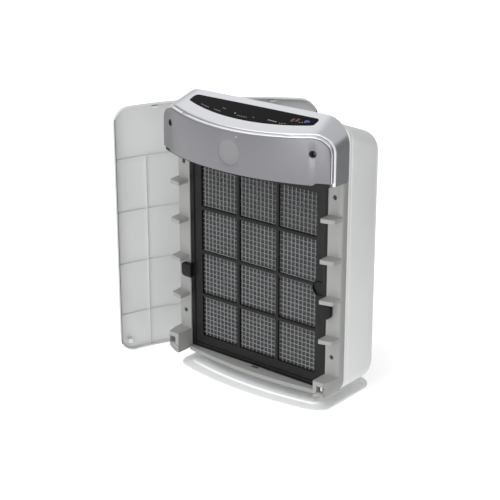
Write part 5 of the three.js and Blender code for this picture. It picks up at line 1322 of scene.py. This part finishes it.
# %% The studio
paper_white = bpy.data.materials.new("studio paper, white")
paper_white.use_nodes = True
shader = paper_white.node_tree.nodes["Principled BSDF"]
shader.inputs["Base Color"].default_value = linear("ffffff")
shader.inputs["Roughness"].default_value = 1.0
shader.inputs["Specular IOR Level"].default_value = 0.0
shader.inputs["Emission Color"].default_value = linear("ffffff")
shader.inputs["Emission Strength"].default_value = 0.4
PAPER = 9000  # millimetres from the middle to each edge
floor_corners = [(-PAPER, -PAPER, 0), (PAPER, -PAPER, 0), (PAPER, PAPER, 0), (-PAPER, PAPER, 0)]
floor = build("floor", floor_corners, [(0, 1, 2, 3)], paper_white)
floor.data.transform(Matrix.Translation((0, 0, -0.05 * MM)))
floor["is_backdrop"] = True


def lamp(name, kind, place, target, **settings):
    """A light aimed at a point."""
    data = bpy.data.lights.new(name, kind)
    for label, value in settings.items():
        setattr(data, label, value)
    made = bpy.data.objects.new(name, data)
    made.location = place
    made.rotation_euler = (Vector(target) - Vector(place)).to_track_quat("-Z", "Y").to_euler()
    bpy.context.scene.collection.objects.link(made)
    made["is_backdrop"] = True


flag_black = bpy.data.materials.new("flag, black cloth")
flag_black.use_nodes = True
shader = flag_black.node_tree.nodes["Principled BSDF"]
shader.inputs["Base Color"].default_value = linear("0a0a0a")
shader.inputs["Roughness"].default_value = 1.0
flag = block("flag", (620, 150, 0), (630, 1500, 700), flag_black)
flag.visible_camera = False  # it shades the right side without standing in any view
flag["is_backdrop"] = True

lamp("key", "SUN", (-1.0, -2.2, 3.2), (0, 0, 0.25), energy=1.35, angle=math.radians(60))
lamp("edge light", "AREA", (2.2, 0.2, 1.5), (0.15, 0, 0.4), energy=4, shape="RECTANGLE", size=0.8, size_y=1.6)
lamp("top softbox", "AREA", (-1.9, 1.3, 2.8), (0, 0, 0.5), energy=7, shape="RECTANGLE", size=2.2, size_y=1.8)
lamp("low fill", "AREA", (0.7, -2.4, 0.5), (0.0, -0.1, 0.0), energy=16, shape="RECTANGLE", size=1.6,
     size_y=0.5)
world = bpy.data.worlds.new("studio air")
world.use_nodes = True
world.node_tree.nodes["Background"].inputs["Color"].default_value = linear("ffffff")
world.node_tree.nodes["Background"].inputs["Strength"].default_value = 0.62
bpy.context.scene.world = world
bpy.context.scene.view_settings.view_transform = "Standard"

# %% [markdown]
# ## Close
#
# The finished look must stay inside the model it was made over, so the two boxes are held against each other
# and the farthest overreach is printed.

# %% Sizes
low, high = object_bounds()
past = max(max(frame_low[i] - low[i], high[i] - frame_high[i]) for i in range(3))
print("farthest past the model's box:", round(past / MM, 3), "mm")
